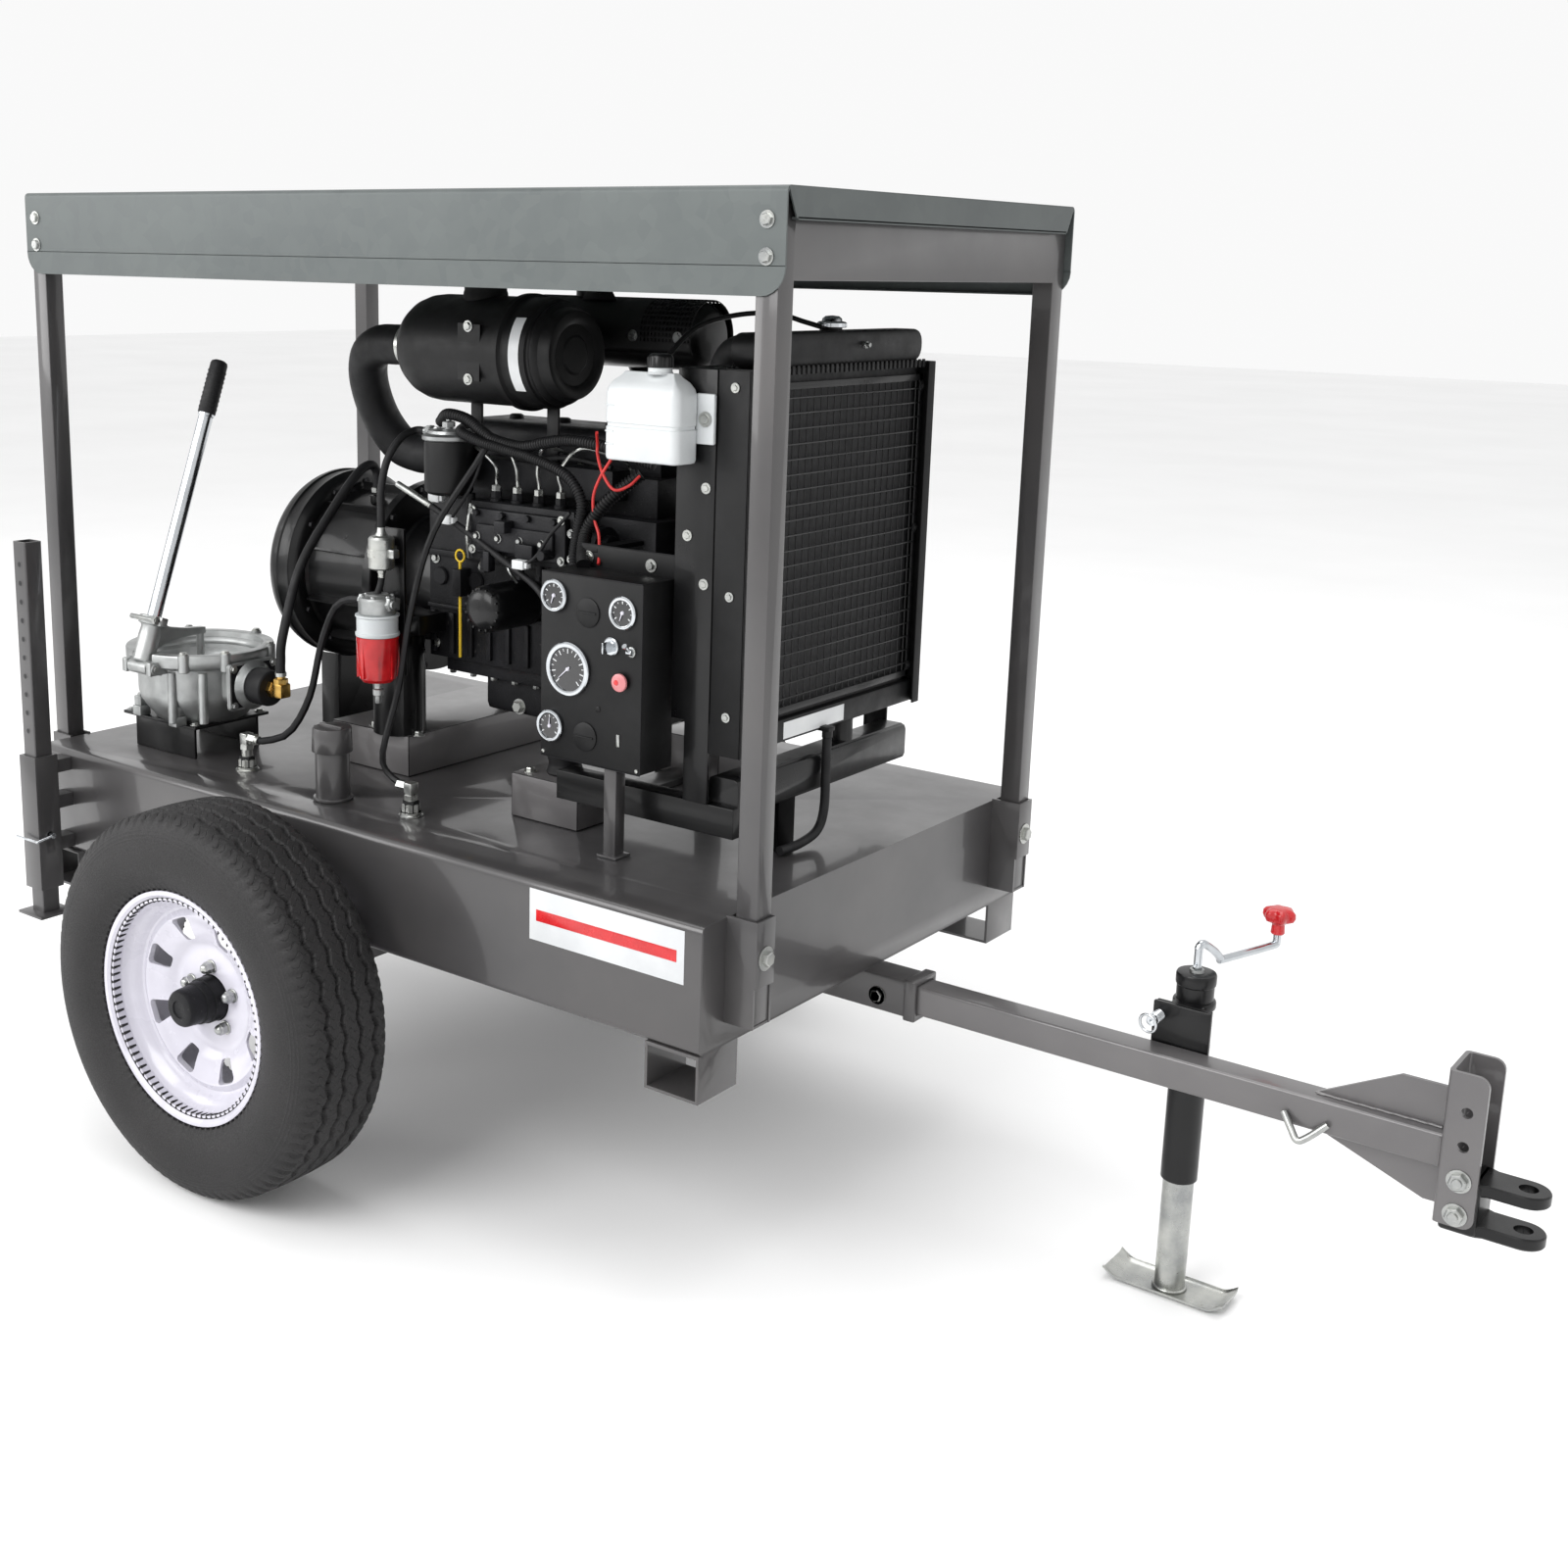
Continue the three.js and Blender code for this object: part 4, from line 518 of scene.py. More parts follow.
def refined(node, material=None, edge=1.2, sharp=SHARP):
    """The CAD node's own form with its edges eased."""
    bm = bmesh.new()
    bm.from_mesh(frame["nodes"][node].data)
    bmesh.ops.remove_doubles(bm, verts=bm.verts, dist=MERGE_M)
    bmesh.ops.dissolve_limit(bm, angle_limit=rad(0.5), verts=bm.verts, edges=bm.edges)
    if edge:
        hard = [e for e in bm.edges if len(e.link_faces) == 2 and e.calc_face_angle(0) > rad(EASE_ANGLE)
                and e.is_convex and e.calc_length() > EASE_LENGTH]
        bmesh.ops.bevel(bm, geom=hard, offset=edge / 1000, segments=2, profile=0.5, affect="EDGES",
                        clamp_overlap=True)
    material = material or SLOT_MATERIAL[SLOT_OF[node]]
    return shown("fine_" + node, mesh_of(node, bm), material, BODY_OF[node], (node,), sharp)


def carved(obj, cutter_shape):
    """Cuts a shape out of a finished piece."""
    bm = cutter_shape.bm
    bmesh.ops.recalc_face_normals(bm, faces=bm.faces)
    to_rows(bm)
    cutter = bpy.data.objects.new("cutter", mesh_of("cutter", bm))
    SCENE.collection.objects.link(cutter)
    mod = obj.modifiers.new("cut", "BOOLEAN")
    mod.operation = "DIFFERENCE"
    mod.solver = "EXACT"
    mod.object = cutter
    bpy.context.view_layer.update()
    done = bpy.data.meshes.new_from_object(obj.evaluated_get(bpy.context.evaluated_depsgraph_get()))
    obj.modifiers.clear()
    obj.data = done
    bpy.data.objects.remove(cutter)
    done.shade_smooth()
    done.set_sharp_from_angle(angle=rad(SHARP))
    return obj


# CAD nodes that already have a piece; the rest are refined from the CAD at the end
DONE = set()

# --------------------------------------------------------------------- wheels

AXLE_X, TYRE_R, WHEEL_Y = -114.0, 343.5, 660.0
NUT_CIRCLE = 57.15


def tyre(label, side):
    """Tyre with four zigzag grooves round the tread and a beaded sidewall."""
    s = Shape()
    around, teeth = 528, 44
    across = [(-66 + 132 * i / 66) for i in range(67)]
    crown = lambda y: TYRE_R - 0.0006 * y * y
    wall_out = [(70, 340.3), (76, 338), (84, 331), (91, 321), (97, 305), (101, 286), (102.2, 270),
                (101.4, 255),
                (98, 243), (97, 240), (92, 229), (86, 219), (81.5, 212.5), (76, 211), (75, 195),
                (74, 190.6)]
    inside = [(52, 190.6), (88, 262), (78, 320), (0, 334)]
    grooves = ((-50, 5.0, 7.0), (-17, 4.0, 6.0), (17, 4.0, 6.0), (50, 5.0, 7.0))
    profile = []
    for y, r in reversed(wall_out):
        profile.append((-y, r, False))
    profile += [(y, crown(y), True) for y in across]
    profile += [(y, r, False) for y, r in wall_out]
    profile += [(y, r, False) for y, r in inside] + [(-y, r, False) for y, r in reversed(inside[:-1])]
    rings = []
    for y, r, tread in profile:
        ring = []
        for i in range(around):
            phase = i * teeth / around
            swing = 2 * abs(2 * (phase - math.floor(phase + 0.5))) - 1
            depth = 0.0
            if tread:
                for middle, reach, width in grooves:
                    gap = abs(y - middle - reach * swing)
                    depth = max(depth, 7.5 * min(1.0, max(0.0, (width / 2 + 1.2 - gap) / 1.6)))
            elif 70 <= abs(y) < 86:
                depth = 3.5 if (phase * 2) % 1 < 0.24 else 0.0
            t = math.tau * i / around
            q = r - depth
            ring.append((AXLE_X + q * math.cos(t), side * WHEEL_Y + y, TYRE_R + q * math.sin(t)))
        rings.append(ring)
    rings.append(rings[0])
    s.grid(rings)
    centre = Vector(((AXLE_X + MID_X) / 1000, side * WHEEL_Y / 1000, TYRE_R / 1000))
    piece(f"tread_tyre_{label}", s, tyre_rubber(centre), f"wheel_{label}", (f"tyre_{label}",), sharp=40)


def rim(label, side):
    """Pressed steel rim with a step, a drop centre and eight D-shaped windows."""
    s = Shape()
    points = [(-80, 207.6), (-77, 208), (-75, 206), (-74.6, 190), (-42, 188.6), (-30, 172), (26, 172),
              (38, 188.6),
              (74.6, 190), (75, 206), (77, 208), (80, 207.6), (80.6, 204), (80, 200), (76, 195.5),
              (66, 193.5),
              (50, 186), (44, 180.5), (41, 176), (34, 172), (28.5, 167.5), (27, 163), (29, 158), (32, 152),
              (31, 147),
              (27.5, 141), (24, 128), (20, 116), (15, 106), (9.5, 99), (6.5, 92), (6, 84), (8, 76), (8, 42),
              (4, 41), (1, 42), (1, 96), (10, 108), (18, 122), (22, 166), (-36, 166), (-50, 182),
              (-70, 186), (-79, 196)]
    s.lathe("y", [(side * (WHEEL_Y + p), r) for p, r in points], (AXLE_X, TYRE_R), 96)
    body = piece(f"pressed_rim_{label}", s, WHITE, f"wheel_{label}", (f"rim_{label}",))
    cutter = Shape()
    y0, y1 = sorted((side * (WHEEL_Y - 6), side * (WHEEL_Y + 46)))
    for i in range(8):
        a = rad(45 * i + 22.5)
        outline = []
        for cu, cv, start in ((146, 13, 0), (116, 7, 90), (116, -7, 180), (146, -13, 270)):
            r = 9 if cu > 120 else 6
            for k in range(5):
                t = rad(start + 22.5 * k)
                u, v = cu - 4 + r * math.cos(t) * 0.8, cv + r * math.sin(t)
                outline.append((AXLE_X + u * math.cos(a) - v * math.sin(a),
                                TYRE_R + u * math.sin(a) + v * math.cos(a)))
        cutter.prism("y", outline, y0, y1)
    carved(body, cutter)


def hub(label, side):
    """Stepped hub with a grease cap, studs and acorn nuts."""
    s = Shape()
    w = side * WHEEL_Y
    steps = [(-14, 20), (-14, 70), (0.6, 70), (0.6, 40), (30, 40), (31.5, 39.5), (32, 37.5), (46, 37),
             (47, 36.4),
             (47.6, 34.5), (70, 33.4), (76, 32.6), (80, 30), (81.5, 26), (81.8, 16), (79.5, 15), (79, 8),
             (78.6, 0.3),
             (-13, 0.3)]
    s.lathe("y", [(w + side * p, r) for p, r in steps], (AXLE_X, TYRE_R), 64)
    piece(f"wheel_hub_{label}", s, CAST, f"wheel_{label}", (f"hub_{label}",))
    nuts = Shape()
    for i in range(5):
        a = rad(72 * i + 90)
        c = (AXLE_X + NUT_CIRCLE * math.cos(a), TYRE_R + NUT_CIRCLE * math.sin(a))
        nuts.rod("y", 12.6, *sorted((w + side * 8.2, w + side * 11)), c, 24)
        nuts.hexagon("y", 10.8, w + side * 10.5, w + side * 24, c, 12 * i)
        dome = [(w + side * (24 - 0.4 + 8 * math.sin(rad(t))), 9.0 * math.cos(rad(t)) + 0.05)
                for t in (0, 20, 40, 60, 75, 90)]
        nuts.lathe("y", [*dome, (w + side * 22, 0.05), (w + side * 22, 9.0)], c, 20)
    piece(f"wheel_nuts_{label}", nuts, ZINC, f"wheel_{label}")


for label, side in (("near", -1), ("far", 1)):
    tyre(label, side)
    rim(label, side)
    hub(label, side)
DONE |= {f"{part}_{label}" for part in ("tyre", "rim", "hub") for label in ("near", "far")}

# ------------------------------------------------- roof, tank and their bolts

ROOF_X, ROOF_Y, ROOF_Z = 876.0, 443.3, 1710.0


def bolt(s, axis, centre, face, out, r=9.5, head=6.5, washer=14.0):
    """Hexagon bolt head with washer standing out of a face."""
    s.hexagon(axis, r, face, face + out * head, centre, 15, washer)
    return s


def roof():
    s = Shape()
    t, bend = 3.0, 9.0
    low = 1601.0
    outer = [(-ROOF_Y, low)] + [(-ROOF_Y + bend - bend * math.cos(rad(a)),
                                 ROOF_Z - bend + bend * math.sin(rad(a)))
                                for a in range(0, 91, 15)]
    outer += [(-y, z) for y, z in reversed(outer)]
    inner = [(y * (ROOF_Y - t) / ROOF_Y, z - (t if z > low else 0)) for y, z in reversed(outer)]
    s.prism("x", outer + inner, -ROOF_X + 0.5, ROOF_X - 0.5)
    for side in (-1, 1):
        outline = [(-ROOF_X, low + 1), (ROOF_X, low + 1)]
        for cx, start in ((ROOF_X - 41, 0), (-ROOF_X + 41, -90)):
            outline += [(cx + 41 * math.cos(rad(start - k)), 1601 + 41 * math.sin(rad(start - k)))
                        for k in range(0, 91, 15)]
        y0, y1 = sorted((side * ROOF_Y, side * (ROOF_Y - t)))
        s.prism("y", outline, y0, y1)
        s.box(-818, 818, *sorted((side * (ROOF_Y - 0.4), side * (ROOF_Y - 20))), 1560, 1563, 0.8)
    for end in (-1, 1):
        x0, x1 = sorted((end * ROOF_X, end * (ROOF_X - 2.6)))
        s.prism("x", [(-440, 1708), (-418, 1666), (418, 1666), (440, 1708)], x0, x1)
        x0, x1 = sorted((end * ROOF_X, end * (ROOF_X - 11)))
        s.prism("x", [(-416, 1668), (-414, 1664), (414, 1664), (416, 1668)], x0, x1)
    piece("folded_roof", s, GALV, "chassis", ("roof_panel",), sharp=24)
    bolts = Shape()
    for end in (-1, 1):
        for side in (-1, 1):
            for z in (1664, 1614):
                bolt(bolts, "y", (end * 844, z), side * ROOF_Y, side, 9, 7, 12.5)
    piece("roof_bolts", bolts, ZINC)


roof()
DONE.add("roof_panel")

refined("base_tank", PAINT, 2.2)
refined("end_frame_front", PAINT, 2.6)
refined("end_frame_rear", PAINT, 2.6)
DONE |= {"base_tank", "end_frame_front", "end_frame_rear"}
frame_bolts = Shape()
for side in (-1, 1):
    bolt(frame_bolts, "x", (side * 421, 590), 868.8, 1, 12, 10, 19)
    bolt(frame_bolts, "x", (side * 421, 590), -868.8, -1, 12, 6.4, 19)
    bolt(frame_bolts, "y", (838, 404), side * 31.8, side, 11, 8, 16)
piece("frame_bolts", frame_bolts, ZINC)

plate = Shape().box(476, 782, -509.0, -508.0, 551, 636, 0.4)
piece("side_panel_plate", plate, LABEL)
band = Shape().box(490, 768, -509.5, -508.8, 584, 603, 0.2)
piece("side_panel_band", band, RED)

# -------------------------------------------------- engine, exhaust and intake

AIR_Y, AIR_Z, CRANK_Z = -150.0, 1447.0, 995.0


def rounded(u0, u1, v0, v1, r, steps=6):
    """Rounded rectangle as a list of (u, v) points."""
    points = []
    for (cu, cv), start in (((u1 - r, v1 - r), 0), ((u0 + r, v1 - r), 90), ((u0 + r, v0 + r), 180),
                            ((u1 - r, v0 + r), 270)):
        for i in range(steps + 1):
            a = rad(start + 90 * i / steps)
            points.append((cu + r * math.cos(a), cv + r * math.sin(a)))
    return points


def pillow(s, axis, u0, u1, v0, v1, corner, stations):
    """Block with rounded corners; stations are (position along the axis, inset)."""
    rings = []
    for at, inset in stations:
        outline = rounded(u0 + inset, u1 - inset, v0 + inset, v1 - inset, max(corner - inset, 1.0))
        rings.append([place(axis, at, u, v) for u, v in outline])
    s.grid(rings, cap=True)
    return s


def band_clamp(s, axis, r, at, centre, width=11):
    """Worm-drive hose clamp."""
    s.lathe(axis, [(at - width / 2, r + 0.4), (at - width / 2, r + 1.8), (at + width / 2, r + 1.8),
                   (at + width / 2, r + 0.4)],
            centre, 48)
    return s


def air_cleaner():
    x0, c = -122.0, (AIR_Y, AIR_Z)
    s = Shape()
    points = [(x0 - 25, 33), (x0 - 26, 36), (x0 - 24, 38), (x0 - 2, 38), (x0 + 2, 40), (x0 + 6, 48),
              (x0 + 14, 62),
              (x0 + 26, 76), (x0 + 42, 86), (x0 + 62, 92.5), (x0 + 84, 94.6), (120, 94.6), (150, 94.8),
              (151, 97),
              (153, 100.6), (165, 100.8), (167, 97), (169, 94.6), (176, 93.6), (184, 94.6), (214, 94.6),
              (220, 92),
              (222, 88), (225, 86.5), (231, 88), (235, 86), (240, 80), (250, 77), (257, 76.4), (261, 74),
              (261.6, 70),
              (260, 58), (256, 52), (256, 34), (258.5, 30), (258.5, 0.3), (250, 0.3), (250, 60),
              (x0 + 40, 60), (x0 - 20, 33)]
    s.lathe("x", points, c, 96)
    stack = [(AIR_Z + 84, 33), (AIR_Z + 84, 41), (AIR_Z + 99, 39), (AIR_Z + 103, 37.6), (1600, 37.6),
             (1604, 39),
             (1608, 39), (1609, 36), (1608, 33)]
    s.lathe("z", stack, (50, AIR_Y), 48)
    for x in (10, 190):
        s.box(x, x + 26, AIR_Y + 4, AIR_Y + 10, 1256, AIR_Z - 84, 1.5)
        s.box(x - 8, x + 34, AIR_Y - 4, AIR_Y + 18, 1255.6, 1261, 1)
    s.prism("y", [(70, 1400), (120, 1398), (122, 1494), (70, 1496)], -243, -238)
    piece("air_filter_housing", s, SATIN, stands_for=("air_cleaner",))
    trim = Shape()
    band_clamp(trim, "x", 38, x0 - 12, c, 13)
    band_clamp(trim, "z", 38, 1566, (50, AIR_Y), 12)
    for z in (1491, 1401):
        bolt(trim, "y", (95, z), -243, -1, 7, 5, 10)
    piece("air_filter_clamps", trim, ZINC)
    label = Shape()
    rows = []
    for i in range(17):
        a = rad(140 + 80 * i / 16)
        rows.append([(x, AIR_Y + 95.6 * math.cos(a), AIR_Z + 95.6 * math.sin(a)) for x in (188, 211)])
    label.grid(rows, closed_u=False)
    piece("air_filter_label", label, LABEL)


def intake_hose():
    route = [(-148, AIR_Y, AIR_Z), (-172, AIR_Y, AIR_Z), (-215, -148, AIR_Z - 3), (-258, -136, 1422),
             (-283, -114, 1372),
             (-286, -82, 1305), (-264, -52, 1252), (-225, -41, 1237), (-190, -40, 1236), (-166, -40, 1236)]
    s = Shape().tube(route, 36.6, 32, 10)
    piece("intake_bend", s, RUBBER, stands_for=("intake_hose",))


def muffler():
    c = (50.0, 1478.0)
    s = Shape()
    points = [(0, 0.3), (0, 40), (2, 46), (8, 55), (16, 59), (384, 59), (392, 55), (398, 46), (400, 40),
              (400, 0.3),
              (390, 0.3), (10, 0.3)]
    s.lathe("x", points, c, 64)
    s.tube([(200, 88, 1446), (200, 112, 1408), (200, 134, 1352), (200, 134, 1290), (200, 134, 1241)], 23.5,
           24, 8)
    s.lathe("z", [(1240.6, 22), (1240.6, 38), (1250, 38), (1250, 22)], (200, 134), 40)
    s.lathe("z", [(1526, 16), (1526, 22), (1568, 22), (1569.5, 20), (1569, 18)], (110, 60), 40)
    s.prism("y", [(128, 1536), (206, 1536), (184, 1570), (152, 1570)], 20, 24)
    bolt(s, "y", (168, 1556), 20, -1, 6, 5, 9)
    piece("exhaust_silencer", s, BLACK, stands_for=("muffler",))
    shield = Shape()
    x0, x1, r1 = 14.0, 398.0, 64.2
    rows, cols = 26, 48
    for j in range(rows):
        a0, a1 = (rad(-28 + 236 * (j + k) / rows) for k in (0, 1))
        for i in range(cols):
            u0, u1 = x0 + (x1 - x0) * i / cols, x0 + (x1 - x0) * (i + 1) / cols
            top = 60 <= math.degrees((a0 + a1) / 2) <= 190
            holed = top and (i >= 34 or (j in (12, 13) and i >= 14))
            ring = lambda u, a: (u, c[0] + r1 * math.cos(a), c[1] + r1 * math.sin(a))
            if not holed:
                shield.grid([[ring(u0, a0), ring(u1, a0)], [ring(u0, a1), ring(u1, a1)]], closed_u=False)
                continue
            du, da = (u1 - u0) * 0.2, (a1 - a0) * 0.2
            outer = [ring(u0, a0), ring(u1, a0), ring(u1, a1), ring(u0, a1)]
            inner = [ring(u0 + du, a0 + da), ring(u1 - du, a0 + da), ring(u1 - du, a1 - da),
                     ring(u0 + du, a1 - da)]
            shield.grid([outer, inner])
    obj = piece("silencer_heat_shield", shield, SATIN)
    thick = obj.modifiers.new("sheet", "SOLIDIFY")
    thick.thickness = 0.0012
    thick.offset = -1
    screws = Shape()
    for x in (60, 274, 372):
        bolt(screws, "y", (x, 1478), -14.4, -1, 7, 4.5, 10)
    piece("heat_shield_screws", screws, ZINC)


def driven_end():
    """Round flanged housing with two lips, cooling slots and its ring of bolts."""
    c = (0.0, CRANK_Z)
    s = Shape()
    points = [(-514, 31), (-514, 120), (-512, 150), (-508, 172), (-500, 182), (-492, 186), (-484, 186.5),
              (-482, 189.6),
              (-474, 189.9), (-471, 187), (-462, 186), (-452, 186), (-449, 189.6), (-441, 189.9),
              (-438, 186), (-431, 182),
              (-427, 175), (-425, 166), (-425, 158), (-421, 152), (-400, 149.6), (-252, 149.6), (-244, 152),
              (-238, 160),
              (-236, 180), (-234, 187.6), (-214, 187.6), (-212, 185), (-212, 128), (-206, 124), (-104, 124),
              (-101, 122),
              (-101, 110), (-230, 110), (-240, 140), (-428, 140), (-436, 176), (-500, 176), (-504, 31)]
    s.lathe("x", points, c, 96)
    for i in range(10):
        a = rad(36 * i + 18)
        s.prism("x", [(c[0] + r * math.cos(a + d), c[1] + r * math.sin(a + d)) for r, d in
                      ((149, -0.012), (168, -0.012), (168, 0.012), (149, 0.012))], -420, -246)
    s.rod("z", 14, CRANK_Z + 136, CRANK_Z + 151, (-330, -50), 32)
    s.hexagon("z", 16, CRANK_Z + 150, CRANK_Z + 152.6, (-330, -50))
    piece("driven_end_housing", s, BLACK, stands_for=("drive_housing",))
    bolts = Shape()
    for i in range(12):
        a = rad(30 * i + 15)
        bolt(bolts, "x", (178 * math.cos(a), CRANK_Z + 178 * math.sin(a)), -212, 1, 7.5, 7, 0)
        bolt(bolts, "x", (168 * math.cos(a + 0.2), CRANK_Z + 168 * math.sin(a + 0.2)), -425, 1, 6.5, 6, 0)
    piece("driven_end_bolts", bolts, CAST)


def engine_dressing():
    """Ribs, plugs, bolts, injection pump and lines on the side of the engine."""
    s = Shape()
    for side in (-1, 1):
        y0, y1 = sorted((side * 147, side * 138))
        for x in range(-92, 430, 46):
            s.box(x, x + 12, y0, y1, 884, 962, 1.6)
        s.box(-100, 430, y0, y1, 968, 976, 1.6)
        s.box(-100, 430, y0, y1, 1066, 1078, 1.6)
    for x in (-50, 65, 180, 295):
        s.lathe("y", [(139, 0.2), (139, 24), (144, 24), (146, 21), (144, 17), (144, 0.2)], (x, 1020), 36)
        s.box(x - 34, x + 34, 139, 149, 1092, 1160, 6)
    for x in (30, 130, 230, 320):
        pillow(s, "y", x - 32, x + 32, 1188, 1244, 12, [(104, 0), (163, 0), (166, 3)])
    for x in (-70, 20, 230, 330):
        s.lathe("y", [(-146, 0.2), (-146, 15), (-143, 17), (-139, 17), (-139, 0.2)], (x, 1028), 32)
    for x in range(-80, 400, 60):
        s.hexagon("z", 7, 1243, 1249, (x, -92), 10, 10)
        s.hexagon("z", 7, 1243, 1249, (x, 92), 10, 10)
    for x in (0, 115, 230, 345):
        s.lathe("z", [(1315, 14), (1322, 13), (1324, 9), (1324, 0.2), (1315, 0.2)], (x - 10, 0), 32)
    s.lathe("z", [(1315, 30), (1330, 29), (1334, 24), (1335, 0.2), (1315, 0.2)], (330, 30), 40)
    piece("engine_ribs_and_caps", s, CAST)
    p = Shape()
    p.box(70, 292, -214, -198, 1096, 1176, 5)
    p.box(92, 270, -222, -212, 1104, 1150, 4)
    for i in range(4):
        x = 100 + i * 50
        p.rod("z", 12, 1176, 1192, (x, -176), 28)
        p.hexagon("z", 10, 1192, 1204, (x, -176))
        p.lathe("y", [(-226, 0.2), (-226, 7), (-222, 8), (-220, 8), (-220, 0.2)], (x - 6, 1128), 24)
    p.rod("x", 33.5, 298, 349, (-172, 1130), 48)
    p.rod("x", 20, 348, 362, (-172, 1130), 32)
    p.box(150, 176, -240, -214, 1140, 1162, 3)
    p.box(196, 236, -236, -220, 1100, 1126, 3)
    p.rod("y", 9, -244, -214, (262, 1112), 24)
    p.box(118, 132, -232, -214, 1068, 1104, 2)
    p.rod("z", 8, 1156, 1196, (44, -182), 24)
    for x, z, r in ((84, 1086, 9), (168, 1082, 7), (214, 1086, 8), (262, 1082, 10)):
        p.rod("z", r, z - 22, z + 8, (x, -188), 24)
        p.hexagon("z", r * 1.1, z - 28, z - 20, (x, -188))
    for x in (78, 138, 198, 258):
        p.lathe("y", [(-222, 0.2), (-222, 5), (-219, 6.4), (-216, 6.4), (-216, 0.2)], (x + 12, 1168), 18)
    p.rod("x", 7, 292, 312, (-196, 1106), 20)
    p.box(300, 330, -206, -186, 1150, 1176, 3)
    piece("injection_pump", p, CAST)
    nuts = Shape()
    for i in range(4):
        nuts.hexagon("z", 8.6, 1204, 1215, (100 + i * 50, -176))
        nuts.hexagon("y", 5, -222, -228, (96 + i * 50, 1128), 0, 8)
    for x, z in ((78, 1172), (284, 1172), (78, 1102), (284, 1102), (330, 1130), (306, 1152), (306, 1108)):
        nuts.hexagon("y", 5.4, -214, -220, (x, z), 20, 8)
    for x, z in ((-84, 1060), (-84, 900), (34, 1056), (330, 1056), (418, 900), (418, 1056), (250, 980),
                 (350, 980)):
        nuts.hexagon("y", 7, -140, -147, (x, z), 15, 10)
    piece("pump_and_block_bolts", nuts, ZINC)
    plugs = Shape()
    for x, y, z in ((-52, -172, 1178), (26, -224, 1150), (214, -240, 1092)):
        plugs.box(x - 13, x + 13, y - 9, y + 9, z - 8, z + 8, 2)
        plugs.box(x + 13, x + 19, y - 6, y + 6, z - 5, z + 5, 1)
    piece("loom_connectors", plugs, LABEL)
    leads = Shape()
    leads.tube([(-46, -172, 1184), (-30, -180, 1214), (-6, -196, 1250), (4, -190, 1290)], 3.2, 10, 8)
    leads.tube([(34, -224, 1152), (60, -226, 1180), (92, -222, 1230), (110, -216, 1288)], 3.2, 10, 8)
    leads.tube([(222, -240, 1092), (250, -240, 1110), (280, -238, 1150), (318, -232, 1190)], 3.2, 10, 8)
    leads.tube([(-20, -150, 1262), (60, -158, 1276), (150, -160, 1262), (250, -158, 1272),
                (340, -150, 1262)], 4.4, 12, 8)
    piece("engine_leads", leads, RUBBER)
    lines = Shape()
    for i in range(4):
        x = 100 + i * 50
        end = -8 + i * 115
        mid = (x + end) / 2
        lines.tube([(x, -176, 1202), (x, -176, 1222), (x + 3, -184, 1250), (mid, -176, 1280 + 4 * i),
                    (end, -130, 1276),
                    (end, -100, 1264), (end, -92, 1246)], 3.2, 10, 8)
        lines.hexagon("z", 8, 1240, 1254, (end, -92))
    for (x0, z0), (x1, z1) in (((60, 1084), (66, 1180)), ((286, 1096), (240, 1066)),
                               ((150, 1096), (176, 1052))):
        lines.tube([(x0, -206, z0), ((x0 + x1) / 2 + 9, -222, (z0 + z1) / 2), (x1, -206, z1)], 3.0, 10, 6)
    piece("injector_lines", lines, ZINC)
    lever = Shape()
    lever.tube([(-107, -215, 1201), (-20, -217, 1169)], 6.2, 16, 2, smooth=False)
    piece("throttle_rod", lever, ZINC)
    cable = Shape().tube([(-20, -217, 1169), (60, -220, 1136), (150, -224, 1096), (220, -232, 1068),
                          (262, -240, 1046),
                          (300, -244, 1000), (330, -250, 960), (352, -256, 930)], 6, 14, 8)
    piece("throttle_cable", cable, RUBBER)
    piece("wiring_loom_upper", Shape().tube(
        [(-20, -192, 1318), (10, -205, 1334), (56, -205, 1328), (100, -210, 1308), (133, -214, 1297),
         (194, -217, 1291),
         (250, -217, 1302), (295, -217, 1309), (350, -217, 1308), (400, -214, 1300), (470, -200, 1280)],
        10.5, 18, 10, ribs=(5.6, 1.7)), RUBBER)
    piece("wiring_loom_lower", Shape().tube(
        [(40, -196, 1312), (54, -218, 1306), (100, -222, 1294), (143, -224, 1287), (224, -226, 1275),
         (291, -228, 1258),
         (324, -228, 1236), (340, -228, 1205), (334, -230, 1165), (322, -226, 1110), (330, -220, 1060)],
        9.5, 18, 10, ribs=(5.2, 1.6)), RUBBER)
    piece("wiring_loom_box", Shape().tube(
        [(440, -196, 1262), (417, -214, 1240), (391, -226, 1214), (370, -232, 1187), (358, -238, 1161),
         (372, -262, 1132),
         (392, -285, 1116)], 11.5, 18, 10, ribs=(6.0, 1.8)), SATIN)
    wires = Shape()
    wires.tube([(398, -262, 1332), (382, -240, 1310), (379, -236, 1293), (391, -236, 1262),
                (415, -236, 1238),
                (441, -230, 1246), (452, -215, 1262)], 2.6, 10, 8)
    wires.tube([(428, -250, 1310), (411, -238, 1290), (386, -237, 1256), (372, -237, 1222),
                (375, -237, 1186),
                (387, -240, 1162), (402, -256, 1136), (412, -270, 1118)], 2.6, 10, 8)
    piece("battery_wires", wires, WIRE_RED)


